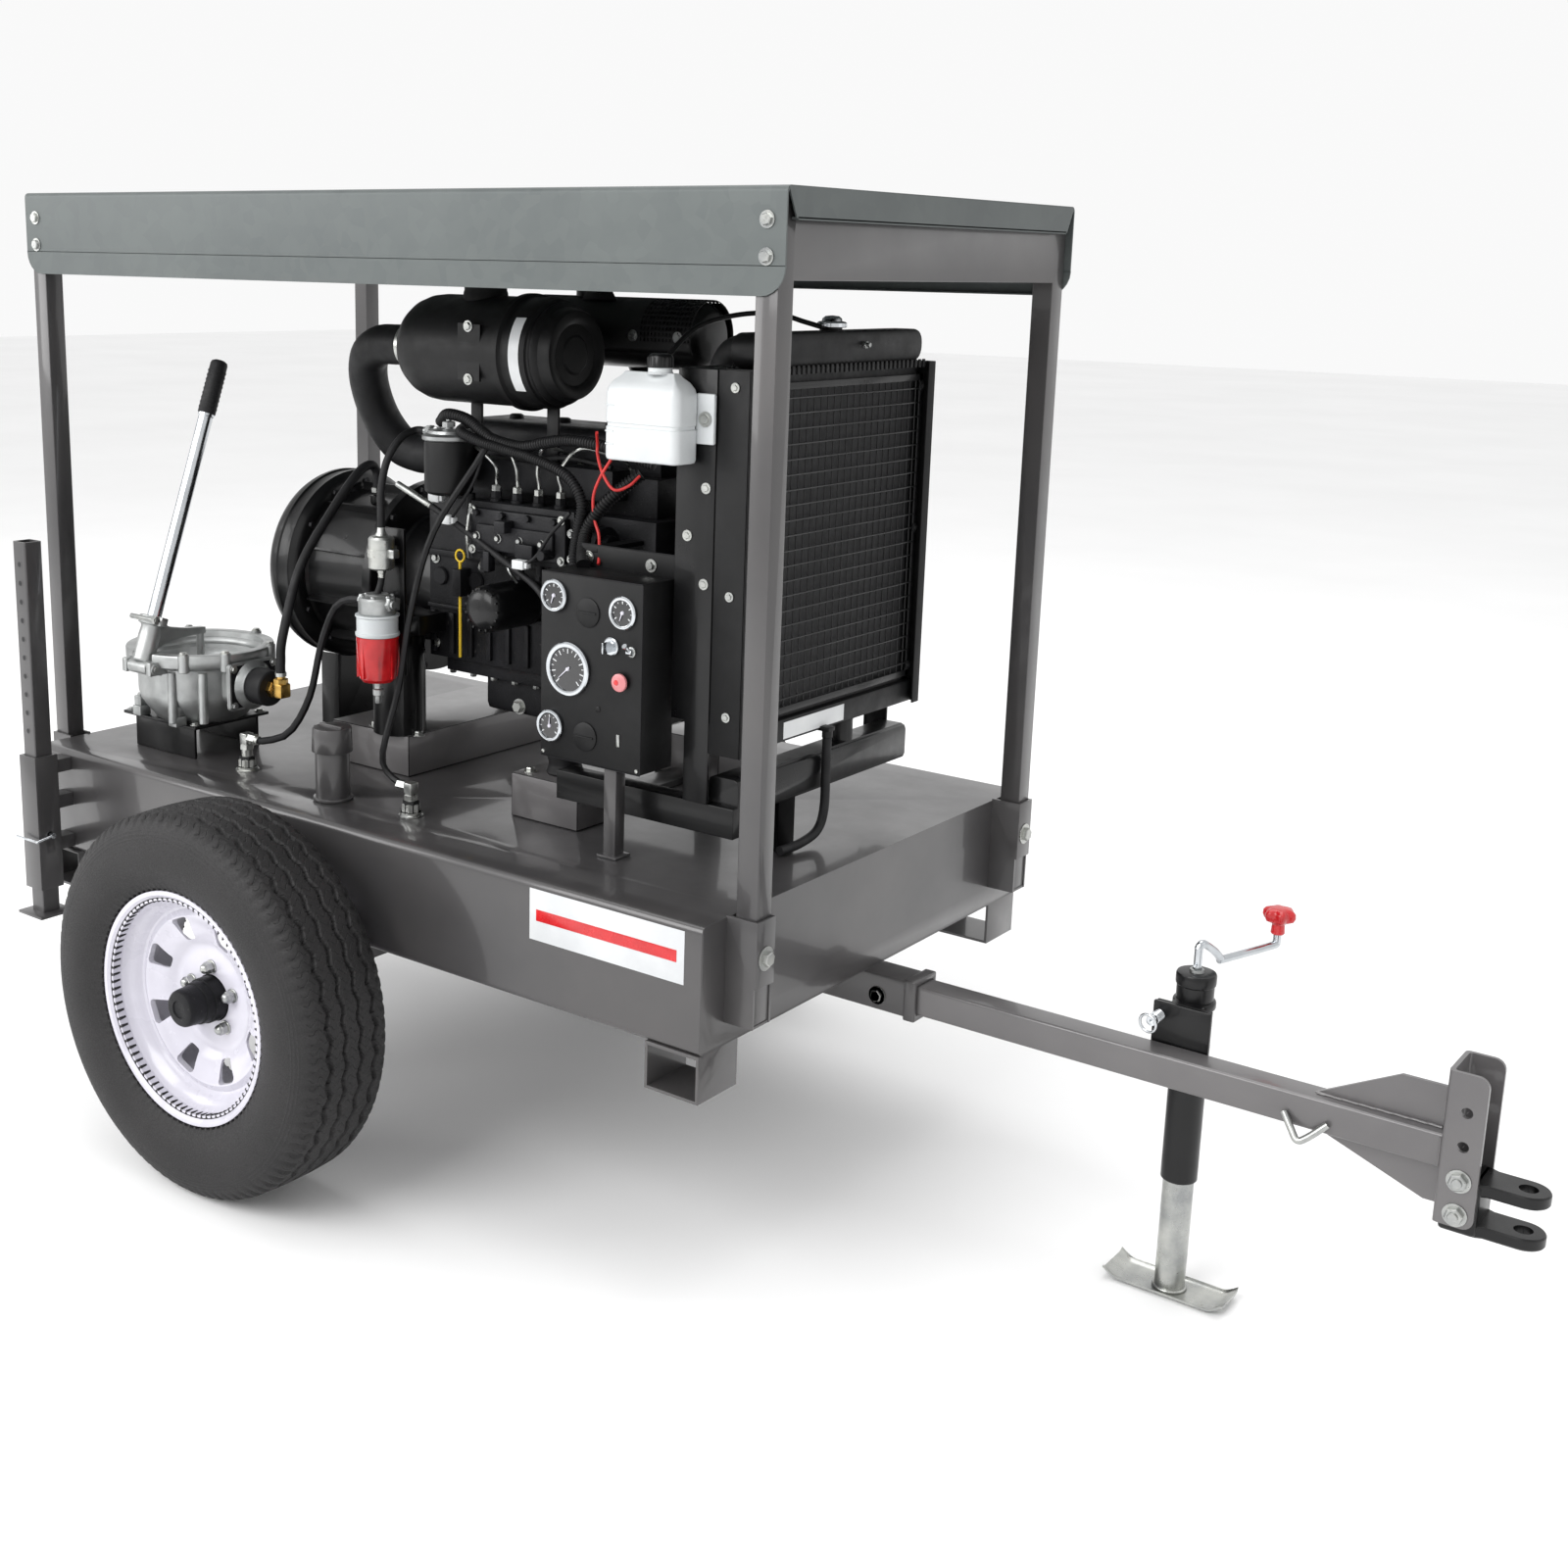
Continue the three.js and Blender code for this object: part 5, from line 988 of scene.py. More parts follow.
def fuel_side():
    s = Shape()
    c = (12.0, -205.0)
    s.lathe("z", [(1192, 0.2), (1192, 30), (1194, 38), (1199, 43), (1206, 44), (1284, 44), (1288, 43),
                  (1289, 40),
                  (1292, 40), (1292, 0.2)], c, 64)
    s.box(-2, 26, -172, -149, 1212, 1298, 3)
    piece("fuel_filter_can", s, SATIN, stands_for=("fuel_filter",))
    head = Shape()
    head.lathe("z", [(1289, 0.2), (1289, 46), (1291, 47.6), (1297, 47.6), (1299, 44), (1301, 38),
                     (1306, 36), (1309, 22),
                     (1309, 0.2)], c, 64)
    head.rod("x", 8, -46, 68, (-205, 1301), 24)
    head.hexagon("x", 12, -38, -28, (-205, 1301), 0)
    head.hexagon("x", 12, 52, 62, (-205, 1301), 0)
    head.rod("z", 8, 1308, 1322, c, 24)
    head.hexagon("z", 12, 1312, 1322, c)
    head.rod("z", 5, 1322, 1337, c, 20)
    for x in (-16, 40):
        head.hexagon("z", 7, 1303, 1310, (x, -205))
    piece("fuel_filter_head", head, ALU)
    oil = Shape()
    oil.lathe("y", [(-150.5, 0.2), (-150.5, 40), (-154, 42), (-158, 42), (-160, 40.5), (-164, 40.5),
                    (-166, 42), (-252, 42),
                    (-262, 40.6), (-270, 36), (-275, 28), (-277.5, 18), (-278, 0.2)], (150, 1008), 64)
    for i in range(15):
        a = rad(24 * i)
        oil.prism("y", [(150 + r * math.cos(a + d), 1008 + r * math.sin(a + d)) for r, d in
                        ((30, -0.05), (38.4, -0.045), (38.4, 0.045), (30, 0.05))], -271, -258)
    piece("oil_filter_can", oil, BLACK, stands_for=("oil_filter",))
    refined("oil_sump", CAST, 2.5)
    refined("engine_block", CAST, 2.2)
    refined("cylinder_head", CAST, 2.2)
    drain = Shape().hexagon("y", 11, -111.5, -122, (100, 800), 0, 15)
    for x in range(-60, 400, 52):
        drain.hexagon("z", 6.5, 848.2, 842, (x, -120), 0)
    piece("sump_plugs", drain, ZINC)


def separator():
    """Fuel separator with its red bowl and the electric pump above it."""
    c = (-73.0, -303.0)
    head = Shape()
    head.lathe("z", [(977, 0.2), (977, 33), (980, 34), (1004, 34), (1008, 31), (1010, 24), (1014, 20),
                     (1014, 0.2)], c, 56)
    head.rod("x", 8, -117, -29, (-303, 998), 24)
    head.hexagon("x", 13, -112, -104, (-303, 998))
    head.hexagon("x", 13, -42, -34, (-303, 998))
    for i in range(6):
        a = rad(60 * i)
        head.hexagon("z", 4, 1008, 1012, (c[0] + 27 * math.cos(a), c[1] + 27 * math.sin(a)))
    head.lathe("z", [(812, 0.2), (812, 5), (814, 6), (826, 6), (828, 10), (838, 10), (840, 7), (852, 7),
                     (852, 0.2)], c, 32)
    head.box(c[0] - 16, c[0] + 16, -270, -258, 980, 1002, 2)
    piece("separator_head", head, ALU, stands_for=("water_separator",))
    sleeve = Shape()
    sleeve.lathe("z", [(938, 20), (938, 39), (940, 40), (944, 40), (946, 37.6), (972, 37.6), (974, 40),
                       (977, 40), (977, 20)], c, 56)
    piece("separator_clear_ring", sleeve, BOTTLE)
    bowl = Shape()
    bowl.lathe("z", [(852, 0.2), (852, 18), (854, 28), (860, 33), (880, 35.4), (912, 37.6), (932, 38.6),
                     (937, 38.6), (937.6, 34),
                     (937.6, 0.2)], c, 56)
    for i in range(8):
        a = rad(45 * i)
        bowl.prism("z", [(c[0] + r * math.cos(a + d), c[1] + r * math.sin(a + d)) for r, d in
                         ((30, -0.05), (38.2, -0.04), (38.2, 0.04), (30, 0.05))], 862, 932)
    piece("separator_bowl", bowl, RED_BOWL)
    p = (-73.0, -291.0)
    pump = Shape()
    pump.lathe("z", [(1042, 3), (1042, 6.5), (1050, 6.5), (1051, 8), (1056, 8), (1057, 20), (1060, 23.6),
                     (1112, 23.6), (1116, 21),
                     (1118, 12), (1124, 8), (1136, 6.5), (1136, 3)], p, 48)
    pump.lathe("z", [(1080, 23), (1080, 25.6), (1094, 25.6), (1094, 23)], p, 48)
    pump.box(-83, -63, -272, -262.4, 1078, 1098, 1)
    pump.box(-50, -34, -300, -284, 1080, 1096, 2)
    piece("fuel_lift_pump", pump, ZINC, stands_for=("feed_pump",))
    line = Shape().tube([(-73, -291, 1130), (-73, -291, 1160), (-75, -288, 1200), (-72, -276, 1250),
                         (-68, -246, 1288),
                         (-62, -215, 1301), (-45, -205, 1301)], 7, 16, 8)
    piece("pump_delivery_hose", line, RUBBER)
    stub = Shape().tube([(-73, -291, 1046), (-73, -294, 1030), (-73, -303, 1012)], 6, 14, 6)
    piece("separator_link_hose", stub, RUBBER)


air_cleaner()
intake_hose()
muffler()
driven_end()
fuel_side()
engine_dressing()
separator()
DONE |= {"air_cleaner", "intake_hose", "muffler", "drive_housing", "fuel_filter", "oil_filter", "oil_sump",
         "engine_block", "cylinder_head", "water_separator", "feed_pump"}

# ------------------------------------------------------ radiator, shroud, bottle


def radiator():
    s = Shape()
    pillow(s, "x", -254, 254, 1447, 1501, 24,
           [(652.3, 5), (653.6, 1.6), (657, 0), (694, 0), (698, 1.6), (699.8, 5)])
    s.box(649, 703, -262, 262, 1439, 1447, 1.2)
    for i in range(37):
        y = -252 + 14 * i
        s.box(702, 705.2, y - 3.5, y + 3.5, 1436, 1450, 0.8)
        s.box(647.6, 650, y - 3.5, y + 3.5, 1437, 1449, 0.8)
    s.box(650.5, 700, -276, 276, 840.4, 880, 5)
    for side in (-1, 1):
        y0, y1 = sorted((side * 277, side * 280))
        s.box(650.5, 712, y0, y1, 840.4, 1446, 0.8)
        y0, y1 = sorted((side * 258, side * 280))
        s.box(709, 712, y0, y1, 840.4, 1446, 0.8)
        s.box(650.5, 653.5, y0, y1, 889, 1446, 0.8)
    for y, z in ((-110, 1474), (150, 862)):
        s.lathe("x", [(628.4, 16), (628.4, 21), (631, 22), (634, 20.4), (655, 20.4), (655, 16)], (y, z), 32)
    s.lathe("z", [(1499, 10), (1499, 20), (1502, 20), (1503, 17), (1509.6, 17), (1511.6, 19), (1512.2, 17),
                  (1512.2, 10)], (674, 0), 40)
    s.rod("y", 3.6, -34, -12, (674, 1507), 16)
    s.rod("z", 9, 828, 842, (710, -20), 24)
    s.box(692, 719, -30, -10, 840.4, 848, 1)
    for y in (-150, 85):
        s.rod("z", 21, 838, 841, (672, y), 28)
    piece("radiator_tanks", s, SATIN, stands_for=("radiator",))
    core = Shape().box(656, 688, -258, 258, 878, 1441, 0)
    piece("radiator_core", core, CORE)
    drain = Shape().tube([(710, -20, 832), (710, -20, 770), (712, -24, 705), (712, -44, 671),
                          (712, -98, 660), (708, -150, 659)],
                         8, 18, 10)
    piece("radiator_drain_hose", drain, RUBBER)
    plate = Shape().box(699.6, 700.6, -139, 45, 846, 874, 0)
    piece("radiator_strip", plate, LABEL)
    vent = Shape()
    vent.hexagon("x", 7, 699.6, 706, (60, 1478))
    vent.rod("x", 4, 706, 712, (60, 1478), 16)
    for side in (-1, 1):
        for z in (905, 1098, 1420):
            bolt(vent, "y", (684, z), side * 280, side, 5, 4, 8)
    piece("radiator_bolts", vent, ZINC)


def guard():
    x0, x1, half, z0, z1 = 696.6, 700.2, 259.0, 890.0, 1424.0
    s = Shape()
    for y0, y1 in ((-half, -half + 11), (half - 11, half)):
        s.box(x0, x1, y0, y1, z0, z1, 0.8)
    for za, zb in ((z0, z0 + 11), (z1 - 11, z1)):
        s.box(x0, x1, -half, half, za, zb, 0.8)
    for i in range(1, 22):
        s.rod("y", 1.5, -half + 2, half - 2, (699.2, z0 + (z1 - z0) * i / 22), 8)
    for i in range(1, 26):
        s.rod("z", 1.2, z0 + 2, z1 - 2, (697.6, -half + 2 * half * i / 26), 8)
    piece("radiator_stone_guard", s, BLACK, stands_for=("radiator_guard",))
    bolts = Shape()
    for y in (-half + 5.5, half - 5.5):
        for z in (z0 + 20, (z0 + z1) / 2, z1 - 20):
            bolt(bolts, "x", (y, z), x1, 1, 5, 4, 8)
    piece("stone_guard_bolts", bolts, SATIN)


def radiator_cap():
    s = Shape()
    s.lathe("z", [(1506, 15), (1506, 23), (1507, 24.4), (1513, 24.4), (1515, 22), (1516, 17), (1520, 16),
                  (1524, 11),
                  (1525, 0.2), (1512.6, 0.2), (1512.6, 15)], (674, 0), 48)
    for side in (-1, 1):
        y0, y1 = sorted((side * 22, side * 33))
        s.box(667, 681, y0, y1, 1508, 1512, 1.2)
    piece("radiator_pressure_cap", s, CHROME, body="radiator_lid", stands_for=("radiator_cap",))


def bottle():
    s = Shape()
    pillow(s, "z", 478, 622, -346, -284, 14,
           [(1300.4, 6), (1302, 2), (1306, 0), (1352, 0), (1354, 2.2), (1358, 2.2), (1360, 0),
                                           (1404, 0), (1414, 3), (1424, 11), (1432, 20), (1438, 24)])
    s.lathe("z", [(1436, 14), (1436, 22), (1440, 19), (1456, 18), (1456, 14)], (566, -315), 40)
    s.box(616, 652, -290, -282, 1331, 1409, 3)
    for z in (1325, 1345, 1385):
        s.box(484, 500, -346.8, -345.4, z, z + 2, 0)
    piece("expansion_bottle", s, BOTTLE, stands_for=("coolant_bottle",))
    cap = Shape()
    cap.lathe("z", [(1446, 18.6), (1446, 20), (1462, 19.6), (1466, 17), (1467.6, 12), (1467.8, 0.2),
                    (1457, 0.2), (1457, 18.6)],
              (566, -315), 48)
    for i in range(18):
        a = rad(20 * i)
        cap.rod("z", 1.3, 1447, 1462, (566 + 19.2 * math.cos(a), -315 + 19.2 * math.sin(a)), 8)
    piece("expansion_bottle_cap", cap, BLACK, body="coolant_lid", stands_for=("coolant_cap",))
    tube = Shape().tube([(540, -300, 1430), (545, -268, 1462), (548, -200, 1504), (556, -110, 1522),
                         (590, -44, 1526),
                         (640, -30, 1514), (674, -32, 1507)], 4.2, 14, 12)
    piece("overflow_tube", tube, SATIN)
    screws = Shape()
    bolt(screws, "y", (636, 1370), -290, -1, 8, 5, 12)
    for x, z in ((600, 1186), (634, 1263), (634, 1112)):
        bolt(screws, "y", (x, z), -280, -1, 6, 4, 9)
    piece("shroud_bolts", screws, ZINC)


def coolant_hoses():
    for name, node, route, ends in (
            ("upper_hose", "radiator_hose_upper",
             [(628, -110, 1474), (604, -110, 1474), (575, -109, 1472), (540, -99, 1456), (505, -78, 1402),
                            (480, -44, 1306), (462, -24, 1267), (440, -20, 1262), (425, -20, 1262)],
             (((-110, 1474), 637), ((-20, 1262), 432))),
            ("lower_hose", "radiator_hose_lower",
             [(628, 150, 862), (600, 150, 862), (560, 149, 863), (522, 143, 885), (504, 134, 940),
                            (502, 122, 1000), (500, 114, 1060), (482, 110, 1096), (461, 110, 1100)],
             (((150, 862), 637), ((110, 1100), 452)))):
        piece(name + "_fine", Shape().tube(route, 22, 28, 10), RUBBER, stands_for=(node,))
        DONE.add(node)
        clamps = Shape()
        for centre, at in ends:
            band_clamp(clamps, "x", 22.2, at, centre)
        piece(name + "_clamps", clamps, ZINC)


radiator()
guard()
radiator_cap()
bottle()
coolant_hoses()
DONE |= {"radiator", "radiator_guard", "radiator_cap", "coolant_bottle", "coolant_cap"}

# ------------------------------------------------------------------ control box


def gauge(bezels, faces, marks, needles, x, z, r, sweep, count, needle):
    """Round dial: bright bezel, dark face, ticks and a needle."""
    front = -347.0
    lip = 0.13 * r + 3.2
    bezels.lathe("y", [(front, r - 1), (front - 1, r), (front - 5, r), (front - 6.6, r - 1.6),
                       (front - 6.9, r - 3.4),
                       (front - 6.2, r - lip + 0.8), (front - 3, r - lip), (front, r - lip)], (x, z), 56)
    faces.lathe("y", [(front - 0.2, r - 4.6), (front - 3.2, r - 4.6), (front - 3.2, 0.2),
                      (front - 0.2, 0.2)], (x, z), 40)
    inner = r - lip - 0.8
    for i in range(count):
        a = rad(sweep[0] + (sweep[1] - sweep[0]) * i / (count - 1))
        long = 0.74 if i % 2 == 0 else 0.84
        wide = (0.05 if i % 2 == 0 else 0.03) * 27 / r
        marks.prism("y", [(x + q * math.cos(a + d), z + q * math.sin(a + d)) for q, d in
                          ((inner * long, -wide), (inner * 0.97, -wide), (inner * 0.97, wide),
                           (inner * long, wide))],
                    front - 3.9, front - 3.1)
    a = rad(needle)
    side = (-math.sin(a) * 1.3, math.cos(a) * 1.3)
    tip = (x + inner * 0.72 * math.cos(a), z + inner * 0.72 * math.sin(a))
    tail = (x - inner * 0.16 * math.cos(a), z - inner * 0.16 * math.sin(a))
    needles.prism("y", [(tail[0] - side[0], tail[1] - side[1]),
                        (tip[0] - side[0] / 3, tip[1] - side[1] / 3),
                        (tip[0] + side[0] / 3, tip[1] + side[1] / 3),
                        (tail[0] + side[0], tail[1] + side[1])],
                  front - 5.2, front - 4.4)
    needles.lathe("y", [(front - 3.2, 0.2), (front - 3.2, 3.4), (front - 5.6, 2.8), (front - 5.6, 0.2)],
                  (x, z), 20)


def control_box():
    s = Shape()
    s.box(355, 566, -347, -262.4, 801, 1111, 2.2)
    s.box(371, 566, -265, -262.2, 1108, 1149, 0.8)
    s.box(375, 405, -266, -140.6, 1135, 1143, 1)
    for x, z in ((455, 1053), (452, 847)):
        s.lathe("y", [(-347, 0.2), (-347, 24), (-349, 24), (-350.2, 22), (-350.6, 0.2)], (x, z), 48)
        s.box(x - 19, x + 19, -352.4, -350, z - 1.4, z + 1.4, 0.4)
    s.lathe("y", [(-347, 0.2), (-347, 5), (-348, 5), (-349, 3), (-349, 0.2)], (478, 897), 20)
    piece("control_housing", s, SATIN, stands_for=("control_box",))
    edges = Shape()
    edges.box(357, 566.6, -347.7, -346.4, 1109.6, 1111.5, 0)
    edges.box(565.2, 566.6, -347.7, -346.4, 803, 1111, 0)
    edges.box(357, 566, -347.7, -346.4, 800.6, 801.8, 0)
    edges.box(371, 566, -265.6, -264.8, 1147.6, 1149.3, 0)
    piece("control_box_edges", edges, CAST)
    post = Shape().box(485.3, 510.7, -338.7, -313.3, 648.4, 802, 2)
    post.box(478, 518, -346, -306, 648.4, 653, 1)
    piece("control_box_post", post, PAINT)
    bezels, faces, marks, needles = Shape(), Shape(), Shape(), Shape()
    for x, z, r, sweep, count, needle in ((385, 1073, 27, (215, -35), 9, 250),
                                          (528, 1062, 27, (215, -35), 9, 250),
                                          (416, 955, 45, (225, -45), 17, 222),
                                          (378, 854, 27, (215, -35), 9, 88)):
        gauge(bezels, faces, marks, needles, x, z, r, sweep, count, needle)
    piece("gauge_bezels", bezels, CHROME)
    piece("gauge_faces", faces, DIAL)
    piece("gauge_marks", marks, LABEL)
    piece("gauge_needles", needles, WHITE)
    trim = Shape()
    for x in (387, 518):
        bolt(trim, "y", (x, 1127), -265, -1, 7, 6, 11)
    for centre, r in (((546, 1001), 8.5),):
        trim.lathe("y", [(-347, r - 3), (-347, r), (-350, r), (-351, r - 2), (-351, r - 3)], centre, 28)
    trim.box(518, 524, -349, -346.5, 842, 862, 0.5)
    for x, z in ((362, 808), (559, 808)):
        trim.lathe("y", [(-346.6, 0.2), (-346.6, 3.6), (-348.6, 3), (-349, 0.2)], (x, z), 16)
    piece("control_box_screws", trim, ZINC)
    key = Shape()
    key.lathe("y", [(-347.4, 5), (-347.4, 15), (-352, 15), (-353.6, 13), (-353.6, 8.6), (-356, 8.6),
                    (-356, 0.2), (-340, 0.2), (-340, 5)],
              (506, 1005), 40)
    key.box(504.6, 507.4, -373, -354, 996, 1014, 0.8)
    piece("key_and_barrel", key, CHROME, body="key", stands_for=("key_switch",))
    reset = Shape()
    reset.lathe("y", [(-354, 0.2), (-354, 14.6), (-356, 15), (-358, 14.4), (-359, 12), (-359.2, 0.2)],
                (528, 950), 44)
    reset.rod("y", 5.6, -354, -336, (528, 950), 20)
    piece("reset_push", reset, PINK, body="reset", stands_for=("reset_button",))
    dot = Shape().lathe("y", [(-359, 0.2), (-359, 4.6), (-360, 4), (-360.2, 0.2)], (524, 950), 24)
    piece("reset_push_mark", dot, RED, body="reset")


control_box()
DONE |= {"control_box", "key_switch", "reset_button"}

# ------------------------------------------------------- mounts and tank fittings


def mounts():
    """Painted channels the engine stands on, with their rubber mounts and nuts."""
    s = Shape()
    for y0, y1 in ((-263.5, -149.5), (149.5, 263.5)):
        s.box(215.5, 367.5, y0, y1, 648.4, 727.5, 3)
    s.box(-300.5, -93.5, -206.5, 206.5, 648.4, 727.5, 3)
    # painted in the lighter copy of the grey paint, the one that carries painted light
    piece("mount_channels", s, LIT_GREY_PAINT)
    pads = Shape()
    for side in (-1, 1):
        pads.lathe("z", [(727.4, 0.2), (727.4, 31), (731, 33), (744, 29), (748, 29), (762, 33), (766, 31),
                         (766, 0.2)],
                   (290, side * 205), 40)
    piece("mount_rubbers", pads, RUBBER)
    nuts = Shape()
    for side in (-1, 1):
        for x in (240, 342):
            nuts.hexagon("z", 8, 727.4, 736, (x, side * 240), 12, 12)
        for dx in (-34, 34):
            nuts.hexagon("z", 8, 727.4, 736, (-143 + dx * 1.7, side * 188), 12, 12)
    piece("mount_nuts", nuts, ZINC)


def tank_elbow(s, centre, height, towards):
    """Push-in elbow on a hexagon base."""
    x, y = centre
    top = 648.0 + height
    s.lathe("z", [(648.3, 0.2), (648.3, 22), (651, 22), (653, 19.5), (656, 19.5), (656, 0.2)], centre, 40)
    s.hexagon("z", 16.5, 656, 671, centre)
    s.rod("z", 10.5, 671, top - 22, centre, 28)
    s.hexagon("z", 13.5, top - 30, top - 20, centre, 15)
    s.box(x - 10, x + 10, y - 10, y + 10, top - 22, top + 1, 3)
    x0, x1 = sorted((x + towards * 8, x + towards * 30))
    s.hexagon("x", 10.5, x0 if towards > 0 else x1, x1 if towards > 0 else x0, (y, top - 9))
    s.rod("x", 8.6, x0, x1 + (6 if towards > 0 else 0), (y, top - 9), 24)


mounts()
elbows = Shape()
tank_elbow(elbows, (-358.0, -372.0), 72.0, 1)
tank_elbow(elbows, (86.0, -381.0), 60.0, -1)
piece("tank_elbows", elbows, ZINC)

# -------------------------------------------------------------------- hand pump

PUMP = (-550.0, -320.0)
LEVER_Y, LEVER_Z, LEVER_LEAN = -462.0, 835.0, -20.4


def pump():
    x, y = PUMP
    s = Shape()
    s.lathe("z", [(718.4, 0.2), (718.4, 84), (721, 88), (732, 97), (748, 109), (762, 117), (774, 120.4),
                  (822, 121.6),
                  (829, 123), (834, 134), (837, 140), (841, 141.8), (858, 141.8), (861, 140.6), (862, 138),
                  (862, 124),
                  (860, 121), (850, 119), (845, 113.5), (841, 112), (836, 112), (831, 107), (826, 106),
                  (820, 104.6),
                  (812, 101), (806, 98), (802, 88), (799, 72), (797, 40), (796, 24), (796, 0.2)], PUMP, 96)
    for a in (-66, -38):
        c = (x + 120 * math.cos(rad(a)), y + 120 * math.sin(rad(a)))
        s.rod("z", 9, 726, 826, c, 20)
    pillow(s, "x", y - 43, y + 43, 761, 837, 20, [(x + 84, 1), (x + 142, 0), (x + 148, 2)])
    pillow(s, "x", y - 58, y + 58, 755.5, 846.5, 8,
           [(x + 145, 1), (x + 146, 0), (x + 149.4, 0), (x + 150.2, 1)])
    body = piece("pump_bowl", s, ALU, stands_for=("pump_body",))
    carved(body, Shape().box(x - 28.4, x + 28.4, LEVER_Y - 24, y - 109, LEVER_Z - 18, 870, 0))
    more = Shape()
    for side in (-1, 1):
        x0, x1 = sorted((x + side * 29, x + side * 43))
        more.box(x0, x1, LEVER_Y - 13, y - 106, LEVER_Z - 13, LEVER_Z + 14, 3)
        more.rod("x", 11, x0 - 1.5, x1 + 1.5, (LEVER_Y, LEVER_Z), 28)
    more.box(x - 43, x + 43, y - 116, y - 107, LEVER_Z - 14, LEVER_Z + 2, 2)
    pillow(more, "x", y - 58, y + 58, 755.5, 846.5, 8,
           [(x + 150.6, 1), (x + 151.4, 0), (x + 154, 0), (x + 154.8, 1)])
    for a in (30, 90, 150, -20, -52):
        c = (x + 141 * math.cos(rad(a)), y + 141 * math.sin(rad(a)))
        more.rod("z", 10.5, 830, 864.5, c, 24)
    for x0, y0 in ((x + 34, -431), (x - 92, -418), (x - 60, -226)):
        more.box(x0, x0 + 24, y0, y0 + 26, 718.3, 738, 2)
        more.box(x0 + 2, x0 + 22, y0 + 3, y0 + 26, 738, 757, 2)
    more.lathe("x", [(-395, 30), (-395, 48), (-392, 46), (-386, 40), (-382, 37), (-382, 30)], (y, 800), 48)
    piece("pump_fittings", more, ALU)
    face = Shape().box(-395.6, -394.6, y - 54, y + 54, 760, 842, 0)
    piece("pump_port_face", face, CAST)
    bolts = Shape()
    for a in (30, 90, 150, -20, -52):
        c = (x + 141 * math.cos(rad(a)), y + 141 * math.sin(rad(a)))
        bolts.hexagon("z", 7.5, 864.4, 869.6, c, 10, 9)
    for dy in (-48, 48):
        for z in (765, 837):
            bolt(bolts, "x", (y + dy, z), -395, 1, 6, 5, 8)
    for x0, y0 in ((x + 34, -431), (x - 92, -418)):
        bolt(bolts, "z", (x0 + 12, y0 + 12), 757, 1, 7, 5, 0)
    for dx, dy in ((-128, -72), (66, -72), (-128, 88), (66, 88)):
        bolt(bolts, "z", (x + dx, y + dy), 718, 1, 7, 5, 10)
    piece("pump_bolts", bolts, ZINC)
    bellows = Shape()
    bellows.lathe("z", [(796.6, 0.2), (796.6, 92), (801, 95), (806, 92), (806, 86), (800, 81), (798.6, 72),
                        (798.6, 0.2)],
                  PUMP, 64)
    piece("pump_diaphragm", bellows, RUBBER)
    refined("pump_base", BLACK, 1.6)
    plug = Shape()
    plug.lathe("x", [(-394.6, 20), (-394.6, 33), (-392, 35), (-350, 35), (-345, 33.6), (-343, 31),
                     (-343, 0.2), (-394.6, 0.2)], (y, 800), 48)
    piece("pump_outlet_bush", plug, RUBBER, stands_for=("priming_hose",))
    elbow = Shape()
    elbow.hexagon("x", 17, -343, -333, (y, 800))
    elbow.rod("x", 13, -335, -316, (y, 800), 28)
    elbow.box(-331, -303, y - 13, y + 13, 787, 815, 4)
    elbow.hexagon("z", 14, 814, 824, (-317, y))
    elbow.rod("z", 8.6, 822, 840, (-317, y), 24)
    piece("pump_outlet_elbow", elbow, BRASS)
    line = Shape().tube([(-316.9, -320, 832), (-317.6, -319, 856), (-319, -311, 905), (-324.7, -258, 1030),
                         (-328.7, -170, 1130),
                         (-330, -105, 1192), (-330, -70, 1208), (-330, -53, 1196), (-330, -50, 1174),
                         (-330, -50, 1148.5)], 9, 20, 10)
    piece("priming_hose_line", line, RUBBER)
    ends = Shape()
    band_clamp(ends, "z", 9.2, 832, (-317, -320), 7)
    ends.hexagon("z", 12, 1153, 1163, (-330, -50))
    piece("priming_hose_ends", ends, ZINC)


